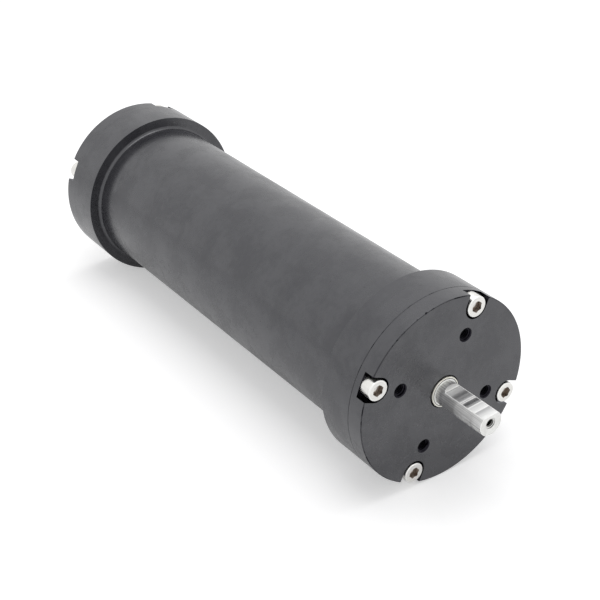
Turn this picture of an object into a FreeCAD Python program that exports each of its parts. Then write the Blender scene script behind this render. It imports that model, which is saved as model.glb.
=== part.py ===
import FreeCAD, Part
import math
import os
from collections import namedtuple

# Underwater gear motor: a sealed round housing that holds a brushed motor and a two-stage
# planetary gearbox. The shaft axis is the X axis. The origin is the centre of the front face,
# +X runs out along the shaft and +Z is up. All sizes are in millimetres.

Screw = namedtuple("Screw", "thread_d head_d head_height socket_af socket_depth")
Bearing = namedtuple("Bearing", "bore_d outer_d width inner_land_d outer_land_d")

# Small screws
m3_thread_d = 3.0
m3_head_d = 5.5
m3_head_height = 3.0
m3_socket_af = 2.5
m3_socket_depth = 1.4
m4_thread_d = 4.0
m4_head_d = 7.0
m4_head_height = 4.0
m4_socket_af = 3.0
m4_socket_depth = 2.0

# Cover screws
m6_thread_d = 6.0
m6_head_d = 10.0
m6_head_height = 6.0
m6_socket_af = 5.0
m6_socket_depth = 3.0

# Ball bearings
output_bearing_bore_d = 15.0
output_bearing_outer_d = 28.0
output_bearing_width = 7.0
output_bearing_inner_land_d = 18.6
output_bearing_outer_land_d = 24.6
motor_bearing_outer_d = 22.0
motor_bearing_width = 7.0
motor_bearing_inner_land_d = 12.0
motor_bearing_outer_land_d = 18.4

# Clearances
seat_gap = 0.03
running_gap = 0.05
thread_gap = 0.05
screw_hole_gap = 0.3
head_gap = 0.3
shield_gap = 0.3

# How cutters run: past the stock, to a drill point, and when two faces count as touching
overcut = 1.0
drill_point_r = 0.01
touching = 0.001

# Housing tube with a collar at each end
body_length = 278.0
bore_d = 68.0
tube_wall = 6.0
collar_step = 6.5
front_collar_length = 19.0
rear_collar_length = 19.5
collar_fillet = 1.8
seam_break = 0.2

# Covers
cover_thickness = 9.0
rim_chamfer = 0.5
spigot_length = 12.0
rear_spigot_wall = 6.0
spigot_lead = 0.6
o_ring_width = 2.6
o_ring_depth = 1.9
o_ring_side_gap = 0.2
o_ring_bulge = 0.5
o_ring_place = 6.6

# Cover screws in slots that are open to the rim
cover_screw_count = 4
cover_screw_angle = 68.1
cover_screw_edge = 5.4
cover_screw_length = 16.0
slot_side_gap = 1.0
head_proud = 0.5
tapped_spare_depth = 2.5

# Mounting holes in the front face
mount_hole_count = 4
mount_circle_d = 55.0
mount_hole_d = 6.0
mount_hole_depth = 12.0
mount_hole_chamfer = 0.65

# Output shaft
shaft_d = 12.0
shaft_length = 30.0
journal_proud = 0.8
journal_chamfer = 0.3
journal_bore_gap = 0.5
flat_height = 4.25
flat_start = 6.0
flat_runout = 2.2
flat_angle = 95.0
shaft_thread_d = 5.0
shaft_thread_depth = 13.0
shaft_thread_chamfer = 0.35

# Shaft seals
seal_od = 26.0
seal_width = 7.0
seal_count = 2
seal_wall = 3.0
seal_skin = 1.5
seal_lip_width = 1.0

# Gears
module = 1.0
sun_teeth = 12
planet_teeth = 15
planet_count = 3
pressure_angle = math.radians(20.0)
addendum = 0.85
dedendum = 1.1
ring_addendum = 0.7
backlash = 0.12
stage_2_width = 12.0
stage_1_width = 9.0
sun_bore_d = 6.0

# Planet carriers
planet_pin_d = 5.0
pin_head_step = 0.9
pin_head_width = 0.8
washer_width = 0.5
washer_step = 1.4
stage_2_plate = 5.0
stage_1_plate = 4.0
carrier_gap = 0.9
axial_gap = 0.1
stage_gap = 1.2
sun_tail_d = 8.0

# Gearbox housing
gear_wall = 4.9
flange_gap = 1.0
flange_thickness = 6.0
flange_screw_edge = 3.8
flange_screw_length = 12.0
flange_tap_spare = 2.0
pilot_wall = 2.0
pilot_lip = 2.0
bearing_spacer_length = 6.0
bearing_spacer_wall = 1.4
retainer_width = 1.2
retainer_depth = 0.8
retainer_reach = 2.2
housing_end_edge = 0.8
shim_width = 0.5
tie_screw_count = 4
tie_screw_angle = 23.1
tie_engagement = 5.0
adapter_thickness = 6.0
adapter_bore_d = 16.0
face_screw_circle_d = 33.0
face_screw_length = 8.0

# Motor casing
motor_pilot_d = 25.0
motor_pilot_length = 3.0
bell_thickness = 8.0
bell_spigot = 4.0
can_wall = 2.3
bell_lip = 3.0
through_bolt_count = 2
through_bolt_angle = 90.0
through_bolt_engagement = 8.0
through_bolt_tap_spare = 1.0
through_bolt_side_gap = 0.5
spring_washer_width = 1.0
spring_washer_wall = 1.6
support_width = 14.0
support_gap = 0.4
support_back_set = 5.0

# Motor magnets and armature
magnet_thickness = 4.2
magnet_overhang = 5.0
magnet_arc = 140.0
air_gap = 0.6
core_length = 57.0
end_turn_front_gap = 7.0
slot_count = 12
slot_floor_d = 21.0
slot_floor_width = 2.6
slot_lip = 1.2
slot_top_width = 6.0
slot_opening = 1.8
slot_liner = 0.15
end_turn_length = 7.5
end_turn_step = 2.6
end_turn_bore_d = 13.0
end_turn_round = 1.5
motor_shaft_d = 8.0
shaft_end_gap = 1.2

# Commutator and brushes
commutator_d = 19.0
commutator_land = 2.9
commutator_tail = 0.5
commutator_hub_wall = 1.5
commutator_slit = 0.4
riser_height = 2.0
riser_width = 1.5
riser_gap = 1.5
brush_width = 5.0
brush_length = 8.0
brush_end_r = 17.0
brush_gap = 0.1
brush_box_wall = 1.5
brush_box_start = 2.5
brush_box_end_r = 19.5
brush_plate = 3.0
brush_plate_bore_d = 25.0
brush_spring_thickness = 0.4
brush_spring_width = 4.0

# Cable gland in the rear cover
gland_thread_d = 20.0
gland_thread_length = 12.0
gland_thread_chamfer = 0.5
gland_hex_af = 24.0
gland_hex_width = 5.0
gland_hex_chamfer = 1.0
gland_neck_d = 18.0
gland_neck_length = 9.0
gland_bore_d = 12.0
gland_seal_width = 1.5
gland_seal_wall = 2.4
insert_wall = 2.5
insert_length = 8.0
dome_nut_gap = 0.8
dome_nut_length = 16.0
dome_hex_length = 8.0
dome_mouth_d = 9.5
dome_rim = 1.6
dome_bulge = 1.5

# Sizes that follow from the ones above
m3 = Screw(m3_thread_d, m3_head_d, m3_head_height, m3_socket_af, m3_socket_depth)
m4 = Screw(m4_thread_d, m4_head_d, m4_head_height, m4_socket_af, m4_socket_depth)
m6 = Screw(m6_thread_d, m6_head_d, m6_head_height, m6_socket_af, m6_socket_depth)
output_bearing = Bearing(output_bearing_bore_d, output_bearing_outer_d, output_bearing_width,
                         output_bearing_inner_land_d, output_bearing_outer_land_d)
motor_bearing = Bearing(motor_shaft_d, motor_bearing_outer_d, motor_bearing_width,
                        motor_bearing_inner_land_d, motor_bearing_outer_land_d)
bore_r = bore_d / 2
tube_r = bore_r + tube_wall
collar_r = tube_r + collar_step
spigot_r = bore_r - seat_gap
o_ring_floor_r = bore_r - o_ring_depth
journal_r = output_bearing.bore_d / 2
shaft_r = shaft_d / 2
cover_screw_r = collar_r - cover_screw_edge
pilot_r = output_bearing.outer_d / 2 + pilot_wall
pilot_bore_r = output_bearing.outer_d / 2 - pilot_lip
slot_depth = m6.head_height - head_proud
sun_pitch_r = module * sun_teeth / 2
planet_pitch_r = module * planet_teeth / 2
ring_teeth = sun_teeth + 2 * planet_teeth
ring_pitch_r = module * ring_teeth / 2
ring_tip_r = ring_pitch_r - ring_addendum * module
ring_root_r = ring_pitch_r + dedendum * module
centre_distance = sun_pitch_r + planet_pitch_r
gear_case_r = ring_root_r + gear_wall
carrier_r = ring_tip_r - carrier_gap
pin_r = planet_pin_d / 2
tie_screw_r = ring_root_r + gear_wall / 2
flange_r = bore_r - flange_gap
flange_screw_r = flange_r - flange_screw_edge
can_bore_r = gear_case_r - can_wall
armature_r = can_bore_r - magnet_thickness - air_gap
through_bolt_r = armature_r + air_gap + through_bolt_side_gap + m3.thread_d / 2
motor_shaft_r = motor_shaft_d / 2
bell_bore_r = motor_bearing.outer_d / 2 - bell_lip
commutator_r = commutator_d / 2
commutator_length = riser_width + commutator_land + brush_length + brush_gap + commutator_tail
tooth_pitch_turn = 2 * math.pi / (sun_teeth + ring_teeth)

# Stations along the shaft axis, front to back
x_cover = -cover_thickness
x_front_spigot = x_cover - spigot_length
x_body_end = -body_length
x_rear_cover = x_body_end + cover_thickness
x_rear_spigot = x_rear_cover + spigot_length
x_front_collar = x_cover - front_collar_length
x_rear_collar = x_rear_cover + rear_collar_length
x_seal = -seal_wall
x_pilot = x_seal - seal_count * seal_width
x_bearing_1 = x_front_spigot
x_spacer = x_bearing_1 - output_bearing.width
x_bearing_2 = x_spacer - bearing_spacer_length
x_retainer = x_bearing_2 - output_bearing.width
x_case = x_retainer - retainer_width - housing_end_edge
x_plate_2 = x_case - axial_gap - shim_width
x_washer_2 = x_plate_2 - stage_2_plate
x_planet_2 = x_washer_2 - washer_width - axial_gap
x_pin_head_2 = x_planet_2 - stage_2_width - axial_gap
x_plate_1 = x_pin_head_2 - pin_head_width - stage_gap
x_washer_1 = x_plate_1 - stage_1_plate
x_planet_1 = x_washer_1 - washer_width - axial_gap
x_pin_head_1 = x_planet_1 - stage_1_width - axial_gap
x_adapter = x_pin_head_1 - pin_head_width - stage_gap
x_bell = x_adapter - adapter_thickness
x_can = x_bell - bell_thickness
x_motor_bearing_1 = x_can - bell_spigot + motor_bearing.width
x_core = x_can - end_turn_front_gap - end_turn_length
x_core_end = x_core - core_length
x_commutator = x_core_end - end_turn_length - riser_gap
x_commutator_end = x_commutator - commutator_length
x_brush_plate = x_commutator_end + commutator_tail
x_brush = x_brush_plate + brush_gap
x_can_end = x_brush_plate - brush_plate - bell_spigot
x_motor_bearing_2 = x_can_end + bell_spigot - axial_gap
x_spring_washer = x_motor_bearing_2 - motor_bearing.width
x_washer_seat = x_spring_washer - spring_washer_width
x_motor_end = x_can_end - bell_thickness
x_gland_hex = x_body_end - gland_seal_width
x_gland_neck = x_gland_hex - gland_hex_width
x_gland_end = x_gland_neck - gland_neck_length

ORIGIN = FreeCAD.Vector(0, 0, 0)
AXIS = FreeCAD.Vector(1, 0, 0)


def turned(outline):
    """Solid of revolution about the shaft axis from closed (x, radius) corners."""
    corners = [FreeCAD.Vector(x, 0, radius) for x, radius in outline]
    wire = Part.makePolygon(corners + corners[:1])
    return Part.Face(wire).revolve(ORIGIN, AXIS, 360)


def rod(x_front, x_back, radius, y=0.0, z=0.0):
    """Round bar parallel to the shaft axis."""
    start = FreeCAD.Vector(x_back, y, z)
    return Part.makeCylinder(radius, x_front - x_back, start, AXIS)


def sleeve(x_front, x_back, outer_r, inner_r):
    """Plain ring on the shaft axis."""
    return rod(x_front, x_back, outer_r).cut(rod(x_front, x_back, inner_r))


def taper(x_wide, x_narrow, wide_r, narrow_r, y=0.0):
    """Cone that narrows away from x_wide, for chamfers at the mouth of a hole."""
    direction = AXIS if x_narrow > x_wide else AXIS * -1
    start = FreeCAD.Vector(x_wide, y, 0)
    return Part.makeCone(wide_r, narrow_r, abs(x_narrow - x_wide), start, direction)


def hexagon(x_front, x_back, across_flats):
    """Six-sided bar on the shaft axis."""
    corner_r = across_flats / math.sqrt(3)
    corners = []
    for step in range(7):
        turn = math.radians(60 * step)
        corners.append(FreeCAD.Vector(x_back, corner_r * math.cos(turn), corner_r * math.sin(turn)))
    face = Part.Face(Part.makePolygon(corners))
    return face.extrude(FreeCAD.Vector(x_front - x_back, 0, 0))


def hexagon_chamfered(x_front, x_back, across_flats, chamfer):
    """Six-sided bar with its corners turned off at both ends."""
    corner_r = across_flats / math.sqrt(3)
    envelope = turned([
        (x_front, 0),
        (x_front, corner_r - chamfer),
        (x_front - chamfer / 2, corner_r),
        (x_back + chamfer / 2, corner_r),
        (x_back, corner_r - chamfer),
        (x_back, 0),
    ])
    return hexagon(x_front, x_back, across_flats).common(envelope)


def turn(shape, angle):
    """Copy turned about the shaft axis, positive from +Y towards +Z."""
    copy = shape.copy()
    copy.rotate(ORIGIN, AXIS, angle)
    return copy


def moved(shape, x=0.0, y=0.0, z=0.0):
    """Copy shifted to a new place."""
    copy = shape.copy()
    copy.translate(FreeCAD.Vector(x, y, z))
    return copy


def ring_of(shape, count, start_angle):
    """Equally spaced copies round the shaft axis."""
    return [turn(shape, start_angle + 360.0 * index / count) for index in range(count)]


def facing_back(shape):
    """Copy turned end for end about the vertical axis."""
    copy = shape.copy()
    copy.rotate(ORIGIN, FreeCAD.Vector(0, 0, 1), 180)
    return copy


def socket_screw(size, length):
    """Socket cap screw with the underside of its head at the origin and its head towards +X."""
    head_r = size.head_d / 2
    shank_r = size.thread_d / 2
    edge = size.head_d / 20
    body = turned([
        (size.head_height, 0),
        (size.head_height, head_r - edge),
        (size.head_height - edge, head_r),
        (0, head_r),
        (0, shank_r),
        (-length + shank_r / 4, shank_r),
        (-length, shank_r * 3 / 4),
        (-length, 0),
    ])
    return body.cut(hexagon(size.head_height, size.head_height - size.socket_depth, size.socket_af))


def screw_at(size, length, x, radius):
    """Screw with its head towards +X, at a height on the +Y side of the axis."""
    return moved(socket_screw(size, length), x, radius)


def screw_from_behind(size, length, x, radius):
    """Screw with its head towards -X, at a height on the +Y side of the axis."""
    return moved(facing_back(socket_screw(size, length)), x, radius)


def clearance_hole(size, x_front, x_back, radius):
    """Drill for a screw to pass through."""
    return rod(x_front, x_back, (size.thread_d + screw_hole_gap) / 2, radius)


def tapped_hole(size, x_front, x_back, radius):
    """Drill for a screw to bite in."""
    return rod(x_front, x_back, size.thread_d / 2 + thread_gap, radius)


def head_pocket(size, x_front, x_back, radius):
    """Counterbore round a screw head."""
    return rod(x_front, x_back, size.head_d / 2 + head_gap, radius)


# Pressure housing

def o_ring_x(x_base, side):
    """Middle of the seal groove in a spigot whose root is at x_base; side is -1 in front."""
    return x_base + side * o_ring_place


def o_ring(x_middle):
    """Seal ring pressed flat between the groove floor and the bore."""
    half = o_ring_width / 2 - o_ring_side_gap
    return turned([
        (x_middle - half + o_ring_bulge, bore_r),
        (x_middle + half - o_ring_bulge, bore_r),
        (x_middle + half, (bore_r + o_ring_floor_r) / 2),
        (x_middle + half - o_ring_bulge, o_ring_floor_r),
        (x_middle - half + o_ring_bulge, o_ring_floor_r),
        (x_middle - half, (bore_r + o_ring_floor_r) / 2),
    ])


def o_ring_groove(x_middle):
    half = o_ring_width / 2
    return sleeve(x_middle + half, x_middle - half, bore_r + overcut, o_ring_floor_r)


def cover_screw_slots(x_outer, side):
    """Slots open to the rim and the screw holes in their floors; side is +1 on the front cover."""
    floor = x_outer - side * slot_depth
    slot_r = m6.head_d / 2 + slot_side_gap
    low = min(x_outer, floor)
    round_end = rod(low + slot_depth, low, slot_r, cover_screw_r)
    corner = FreeCAD.Vector(low, cover_screw_r, -slot_r)
    open_end = Part.makeBox(slot_depth, collar_r, 2 * slot_r, corner)
    x_inner = x_outer - side * cover_thickness
    hole = clearance_hole(m6, max(floor, x_inner), min(floor, x_inner), cover_screw_r)
    return ring_of(round_end.fuse(open_end).fuse(hole), cover_screw_count, cover_screw_angle)


def housing_tube():
    """Tube turned from one bar, with a thicker collar at each end for the cover screws."""
    body = turned([
        (x_cover, bore_r + spigot_lead),
        (x_cover, collar_r - seam_break),
        (x_cover - seam_break, collar_r),
        (x_front_collar + seam_break, collar_r),
        (x_front_collar, collar_r - seam_break),
        (x_front_collar, tube_r),
        (x_rear_collar, tube_r),
        (x_rear_collar, collar_r - rim_chamfer),
        (x_rear_collar - rim_chamfer, collar_r),
        (x_rear_cover + seam_break, collar_r),
        (x_rear_cover, collar_r - seam_break),
        (x_rear_cover, bore_r + spigot_lead),
        (x_rear_cover + spigot_lead, bore_r),
        (x_cover - spigot_lead, bore_r),
    ])
    roots = []
    for edge in body.Edges:
        is_circle = hasattr(edge.Curve, "Radius") and abs(edge.Curve.Radius - tube_r) < touching
        if is_circle and edge.BoundBox.XLength < touching:
            roots.append(edge)
    body = body.makeFillet(collar_fillet, roots)
    depth = cover_screw_length - (cover_thickness - slot_depth) + tapped_spare_depth
    front = tapped_hole(m6, x_cover, x_cover - depth, cover_screw_r)
    rear = tapped_hole(m6, x_rear_cover + depth, x_rear_cover, cover_screw_r)
    holes = ring_of(front, cover_screw_count, cover_screw_angle)
    holes += ring_of(rear, cover_screw_count, cover_screw_angle)
    return body.cut(holes)


def mounting_holes():
    """Blind tapped holes that a bracket is screwed to."""
    hole_r = mount_hole_d / 2
    circle_r = mount_circle_d / 2
    drill = rod(0, -mount_hole_depth, hole_r, circle_r)
    tip = taper(-mount_hole_depth, -mount_hole_depth - hole_r / 2, hole_r, drill_point_r, circle_r)
    mouth = taper(0, -mount_hole_chamfer, hole_r + mount_hole_chamfer, hole_r, circle_r)
    return ring_of(drill.fuse(tip).fuse(mouth), mount_hole_count, cover_screw_angle)


def front_cover():
    """Disc and spigot that carry the shaft seals and, behind them, the gearbox."""
    seal_r = seal_od / 2
    shaft_bore_r = journal_r + journal_bore_gap
    body = turned([
        (0, shaft_bore_r),
        (0, collar_r - rim_chamfer),
        (-rim_chamfer, collar_r),
        (x_cover + seam_break, collar_r),
        (x_cover, collar_r - seam_break),
        (x_cover, spigot_r),
        (x_front_spigot + spigot_lead, spigot_r),
        (x_front_spigot, spigot_r - spigot_lead),
        (x_front_spigot, pilot_r),
        (x_pilot, pilot_r),
        (x_pilot, seal_r),
        (x_seal, seal_r),
        (x_seal, shaft_bore_r),
    ])
    depth = flange_screw_length - flange_thickness + flange_tap_spare
    tapped = tapped_hole(m4, x_front_spigot + depth, x_front_spigot, flange_screw_r)
    tools = cover_screw_slots(0.0, 1)
    tools += mounting_holes()
    tools += ring_of(tapped, tie_screw_count, tie_screw_angle)
    tools.append(o_ring_groove(o_ring_x(x_cover, -1)))
    return body.cut(tools)


def rear_cover():
    """Disc and hollow spigot with the threaded hole for the cable gland."""
    recess_r = spigot_r - rear_spigot_wall
    gland_r = gland_thread_d / 2 + thread_gap
    body = turned([
        (x_body_end, gland_r),
        (x_body_end, collar_r - rim_chamfer),
        (x_body_end + rim_chamfer, collar_r),
        (x_rear_cover - seam_break, collar_r),
        (x_rear_cover, collar_r - seam_break),
        (x_rear_cover, spigot_r),
        (x_rear_spigot - spigot_lead, spigot_r),
        (x_rear_spigot, spigot_r - spigot_lead),
        (x_rear_spigot, recess_r),
        (x_rear_cover, recess_r),
        (x_rear_cover, gland_r),
    ])
    tools = cover_screw_slots(x_body_end, -1)
    tools.append(o_ring_groove(o_ring_x(x_rear_cover, 1)))
    return body.cut(tools)


def cover_screws(x_outer, side):
    """The screws that hold one cover to its collar."""
    floor = x_outer - side * slot_depth
    if side > 0:
        screw = screw_at(m6, cover_screw_length, floor, cover_screw_r)
    else:
        screw = screw_from_behind(m6, cover_screw_length, floor, cover_screw_r)
    return ring_of(screw, cover_screw_count, cover_screw_angle)


def lip_seal(x_front):
    """Rubber shaft seal: outer wall, web and a lip that runs on the journal."""
    outer_r = seal_od / 2
    lip_r = journal_r + running_gap
    x_back = x_front - seal_width
    x_lip = x_front - seal_width / 2
    return turned([
        (x_front, outer_r),
        (x_front, outer_r - 3 * seal_skin),
        (x_lip + seal_lip_width, lip_r),
        (x_lip, lip_r),
        (x_lip - seal_skin, lip_r + seal_skin),
        (x_lip - seal_skin, lip_r + 2 * seal_skin),
        (x_front - seal_skin, outer_r - 2 * seal_skin),
        (x_front - seal_skin, outer_r - seal_skin),
        (x_back, outer_r - seal_skin),
        (x_back, outer_r),
    ])


# Gearbox

def involute(radius, base_r):
    """Turn of an involute curve between its start and this radius."""
    pressure = math.acos(min(1.0, base_r / radius))
    return math.tan(pressure) - pressure


def polar(x, radius, angle):
    return FreeCAD.Vector(x, radius * math.cos(angle), radius * math.sin(angle))


def gear_face(x, teeth, tip_r, root_r, widening, phase):
    """Cross-section of a spur gear. Each flank is an arc through three points of the involute."""
    pitch_r = module * teeth / 2
    base_r = pitch_r * math.cos(pressure_angle)
    half_at_pitch = (math.pi * module / 2 + widening) / (2 * pitch_r)
    start_r = max(root_r, base_r)
    middle_r = (start_r + tip_r) / 2

    def half_angle(radius):
        return half_at_pitch + involute(pitch_r, base_r) - involute(radius, base_r)

    edges = []
    root_half = half_angle(start_r)
    pitch_turn = 2 * math.pi / teeth
    for tooth in range(teeth):
        centre = phase + tooth * pitch_turn
        rise = [polar(x, r, centre - half_angle(r)) for r in (start_r, middle_r, tip_r)]
        fall = [polar(x, r, centre + half_angle(r)) for r in (tip_r, middle_r, start_r)]
        foot = polar(x, root_r, centre - root_half)
        heel = polar(x, root_r, centre + root_half)
        next_foot = polar(x, root_r, centre + pitch_turn - root_half)
        if start_r > root_r + touching:
            edges.append(Part.LineSegment(foot, rise[0]).toShape())
        edges.append(Part.Arc(*rise).toShape())
        edges.append(Part.Arc(rise[2], polar(x, tip_r, centre), fall[0]).toShape())
        edges.append(Part.Arc(*fall).toShape())
        if start_r > root_r + touching:
            edges.append(Part.LineSegment(fall[2], heel).toShape())
        valley = polar(x, root_r, centre + pitch_turn / 2)
        edges.append(Part.Arc(heel, valley, next_foot).toShape())
    return Part.Face(Part.Wire(edges))


def spur_gear(x_front, width, teeth, phase):
    """External gear on the shaft axis, thinned by its share of the backlash."""
    pitch_r = module * teeth / 2
    tip_r = pitch_r + addendum * module
    root_r = pitch_r - dedendum * module
    face = gear_face(x_front, teeth, tip_r, root_r, -backlash / 2, phase)
    return face.extrude(FreeCAD.Vector(-width, 0, 0))


def planet_angle(index):
    """Place of a planet round the sun, at the nearest turn where its teeth meet both gears."""
    steps = round(index * (sun_teeth + ring_teeth) / planet_count)
    return steps * tooth_pitch_turn


def sun_phase():
    """Turn of the suns that puts a tooth in mesh with the planet at angle zero."""
    return math.pi * (planet_teeth - 1) / sun_teeth


def planet_gear(index, x_front, width):
    """Planet gear in mesh with the ring gear, whose first tooth space is on the +Y side."""
    angle = planet_angle(index)
    phase = angle - angle * ring_teeth / planet_teeth
    gear = spur_gear(x_front, width, planet_teeth, phase)
    gear = gear.cut(rod(x_front, x_front - width, pin_r + running_gap))
    return moved(gear, 0, centre_distance * math.cos(angle), centre_distance * math.sin(angle))


def at_planets(shape):
    """Copies of a shape drawn on the axis, moved out to the planets of one stage."""
    angles = [planet_angle(index) for index in range(planet_count)]
    return [moved(shape, 0, centre_distance * math.cos(a), centre_distance * math.sin(a)) for a in angles]


def planet_pins(x_plate, plate, x_head):
    """Headed pins pressed into one carrier plate."""
    pin = rod(x_plate, x_head, pin_r).fuse(rod(x_head, x_head - pin_head_width, pin_r + pin_head_step))
    return at_planets(pin.removeSplitter())


def thrust_washers(x_front):
    return at_planets(sleeve(x_front, x_front - washer_width, pin_r + washer_step, pin_r))


def pin_holes(x_front, x_back):
    return at_planets(rod(x_front, x_back, pin_r))


def output_housing():
    """Flanged block that holds the two shaft bearings in front of the ring gear."""
    seat_r = output_bearing.outer_d / 2
    body = turned([
        (x_pilot, pilot_bore_r),
        (x_pilot, pilot_r - seat_gap),
        (x_front_spigot, pilot_r - seat_gap),
        (x_front_spigot, flange_r),
        (x_front_spigot - flange_thickness, flange_r),
        (x_front_spigot - flange_thickness, gear_case_r),
        (x_case, gear_case_r),
        (x_case, seat_r),
        (x_retainer - retainer_width, seat_r),
        (x_retainer - retainer_width, seat_r + retainer_depth),
        (x_retainer, seat_r + retainer_depth),
        (x_retainer, seat_r),
        (x_bearing_1, seat_r),
        (x_bearing_1, pilot_bore_r),
    ])
    x_flange_back = x_front_spigot - flange_thickness
    flange_hole = clearance_hole(m4, x_front_spigot, x_flange_back, flange_screw_r)
    scallop = head_pocket(m4, x_flange_back, x_case, flange_screw_r)
    tie_pocket = head_pocket(m3, x_front_spigot, x_front_spigot - m3.head_height, tie_screw_r)
    tie_hole = clearance_hole(m3, x_front_spigot, x_case, tie_screw_r)
    tools = ring_of(flange_hole.fuse(scallop), tie_screw_count, tie_screw_angle)
    tools += ring_of(tie_pocket.fuse(tie_hole), tie_screw_count, cover_screw_angle)
    return body.cut(tools)


def flange_screws():
    x_flange_back = x_front_spigot - flange_thickness
    screw = screw_from_behind(m4, flange_screw_length, x_flange_back, flange_screw_r)
    return ring_of(screw, tie_screw_count, tie_screw_angle)


def bearing_outer(size, x_front):
    """Outer ring with its two shields, in section a deep channel."""
    outer_r = size.outer_d / 2
    land_r = size.outer_land_d / 2
    shield_r = size.inner_land_d / 2 + shield_gap
    x_back = x_front - size.width
    shield = size.width / 10
    return turned([
        (x_front, outer_r),
        (x_front, shield_r),
        (x_front - shield, shield_r),
        (x_front - shield, land_r),
        (x_back + shield, land_r),
        (x_back + shield, shield_r),
        (x_back, shield_r),
        (x_back, outer_r),
    ])


def bearing_inner(size, x_front):
    """Inner ring with a shallow race."""
    bore_r_here = size.bore_d / 2
    land_r = size.inner_land_d / 2
    middle = x_front - size.width / 2
    race = size.width / 5
    return turned([
        (x_front, bore_r_here),
        (x_front, land_r),
        (middle + race, land_r),
        (middle, land_r - race / 2),
        (middle - race, land_r),
        (x_front - size.width, land_r),
        (x_front - size.width, bore_r_here),
    ])


def split_ring(x_front, outer_r, inner_r, gap_angle):
    """Flat retaining ring with a gap at the +Y side."""
    ring = sleeve(x_front, x_front - retainer_width, outer_r, inner_r)
    half = outer_r * math.sin(math.radians(gap_angle / 2))
    corner = FreeCAD.Vector(x_front - retainer_width, 0, -half)
    return ring.cut(Part.makeBox(retainer_width, outer_r + overcut, 2 * half, corner))


def shaft_ring_x():
    """Front face of the retaining ring on the shaft."""
    return x_bearing_1 + shim_width + retainer_width


def d_flat_cutter():
    """Block that mills the long flat and its rounded run-out into the shaft."""
    reach = shaft_r + overcut
    depth = reach - flat_height
    corner = FreeCAD.Vector(flat_start, -reach, flat_height)
    block = Part.makeBox(shaft_length - flat_start + overcut, 2 * reach, depth, corner)
    start = FreeCAD.Vector(flat_start, -reach, flat_height + flat_runout)
    runout = Part.makeCylinder(flat_runout, 2 * reach, start, FreeCAD.Vector(0, 1, 0))
    return turn(block.fuse(runout), flat_angle - 90)


def output_shaft():
    """Output shaft in one piece with the carrier plate of the second stage.

    The wall is split where the flat starts, so that a hub's whole seat is one face.
    """
    x_groove = shaft_ring_x()
    shoulder_r = output_bearing.inner_land_d / 2
    body = turned([
        (shaft_length, 0),
        (shaft_length, shaft_r),
        (flat_start, shaft_r),
        (journal_proud, shaft_r),
        (journal_proud, journal_r - journal_chamfer),
        (journal_proud - journal_chamfer, journal_r),
        (x_groove, journal_r),
        (x_groove, journal_r - retainer_depth),
        (x_groove - retainer_width, journal_r - retainer_depth),
        (x_groove - retainer_width, journal_r),
        (x_retainer, journal_r),
        (x_retainer, shoulder_r),
        (x_plate_2, shoulder_r),
        (x_plate_2, carrier_r),
        (x_washer_2, carrier_r),
        (x_washer_2, 0),
    ])
    hole_r = shaft_thread_d / 2
    x_floor = shaft_length - shaft_thread_depth
    tools = [d_flat_cutter(), rod(shaft_length, x_floor, hole_r)]
    tools.append(taper(x_floor, x_floor - hole_r / 2, hole_r, drill_point_r))
    chamfer = shaft_thread_chamfer
    tools.append(taper(shaft_length, shaft_length - chamfer, hole_r + chamfer, hole_r))
    tools += pin_holes(x_plate_2, x_washer_2)
    return body.cut(tools)


def ring_gear_housing():
    """Outer case of both stages, with one set of inner teeth cut right through."""
    body = rod(x_case, x_adapter, gear_case_r)
    space = gear_face(x_case, ring_teeth, ring_root_r, ring_tip_r, backlash / 2, 0.0)
    teeth = space.extrude(FreeCAD.Vector(x_adapter - x_case, 0, 0))
    holes = ring_of(clearance_hole(m3, x_case, x_adapter, tie_screw_r), tie_screw_count, cover_screw_angle)
    return body.cut([teeth] + holes)


def stage_2_sun_gear():
    """Pinion pressed into the first carrier, which drives the second stage."""
    x_front = x_planet_2
    gear = spur_gear(x_front, x_front - x_plate_1, sun_teeth, sun_phase())
    tail = rod(x_plate_1, x_washer_1, sun_tail_d / 2)
    return gear.fuse(tail)


def stage_1_carrier():
    plate = sleeve(x_plate_1, x_washer_1, carrier_r, sun_tail_d / 2)
    return plate.cut(pin_holes(x_plate_1, x_washer_1))


def stage_1_sun_gear():
    """Pinion pressed on the motor shaft."""
    length = stage_1_width + 2 * pin_head_width
    gear = spur_gear(x_planet_1, length, sun_teeth, sun_phase())
    return gear.cut(rod(x_planet_1, x_planet_1 - length, sun_bore_d / 2))


def tie_screw_length():
    return (x_front_spigot - m3.head_height) - (x_adapter - tie_engagement)


def tie_screws():
    screw = screw_at(m3, tie_screw_length(), x_front_spigot - m3.head_height, tie_screw_r)
    return ring_of(screw, tie_screw_count, cover_screw_angle)


def adapter_plate():
    """Plate between the ring gear and the motor."""
    body = sleeve(x_adapter, x_bell, gear_case_r, adapter_bore_d / 2)
    face_r = face_screw_circle_d / 2
    pocket = head_pocket(m3, x_adapter, x_adapter - m3.head_height, face_r)
    face_hole = clearance_hole(m3, x_adapter, x_bell, face_r)
    tools = ring_of(pocket.fuse(face_hole), tie_screw_count, tie_screw_angle)
    tapped = tapped_hole(m3, x_adapter, x_bell, tie_screw_r)
    tools += ring_of(tapped, tie_screw_count, cover_screw_angle)
    tools.append(rod(x_bell + motor_pilot_length, x_bell, motor_pilot_d / 2))
    return body.cut(tools)


def motor_face_screws():
    x_head = x_adapter - m3.head_height
    screw = screw_at(m3, face_screw_length, x_head, face_screw_circle_d / 2)
    return ring_of(screw, tie_screw_count, tie_screw_angle)


# Motor

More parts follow.
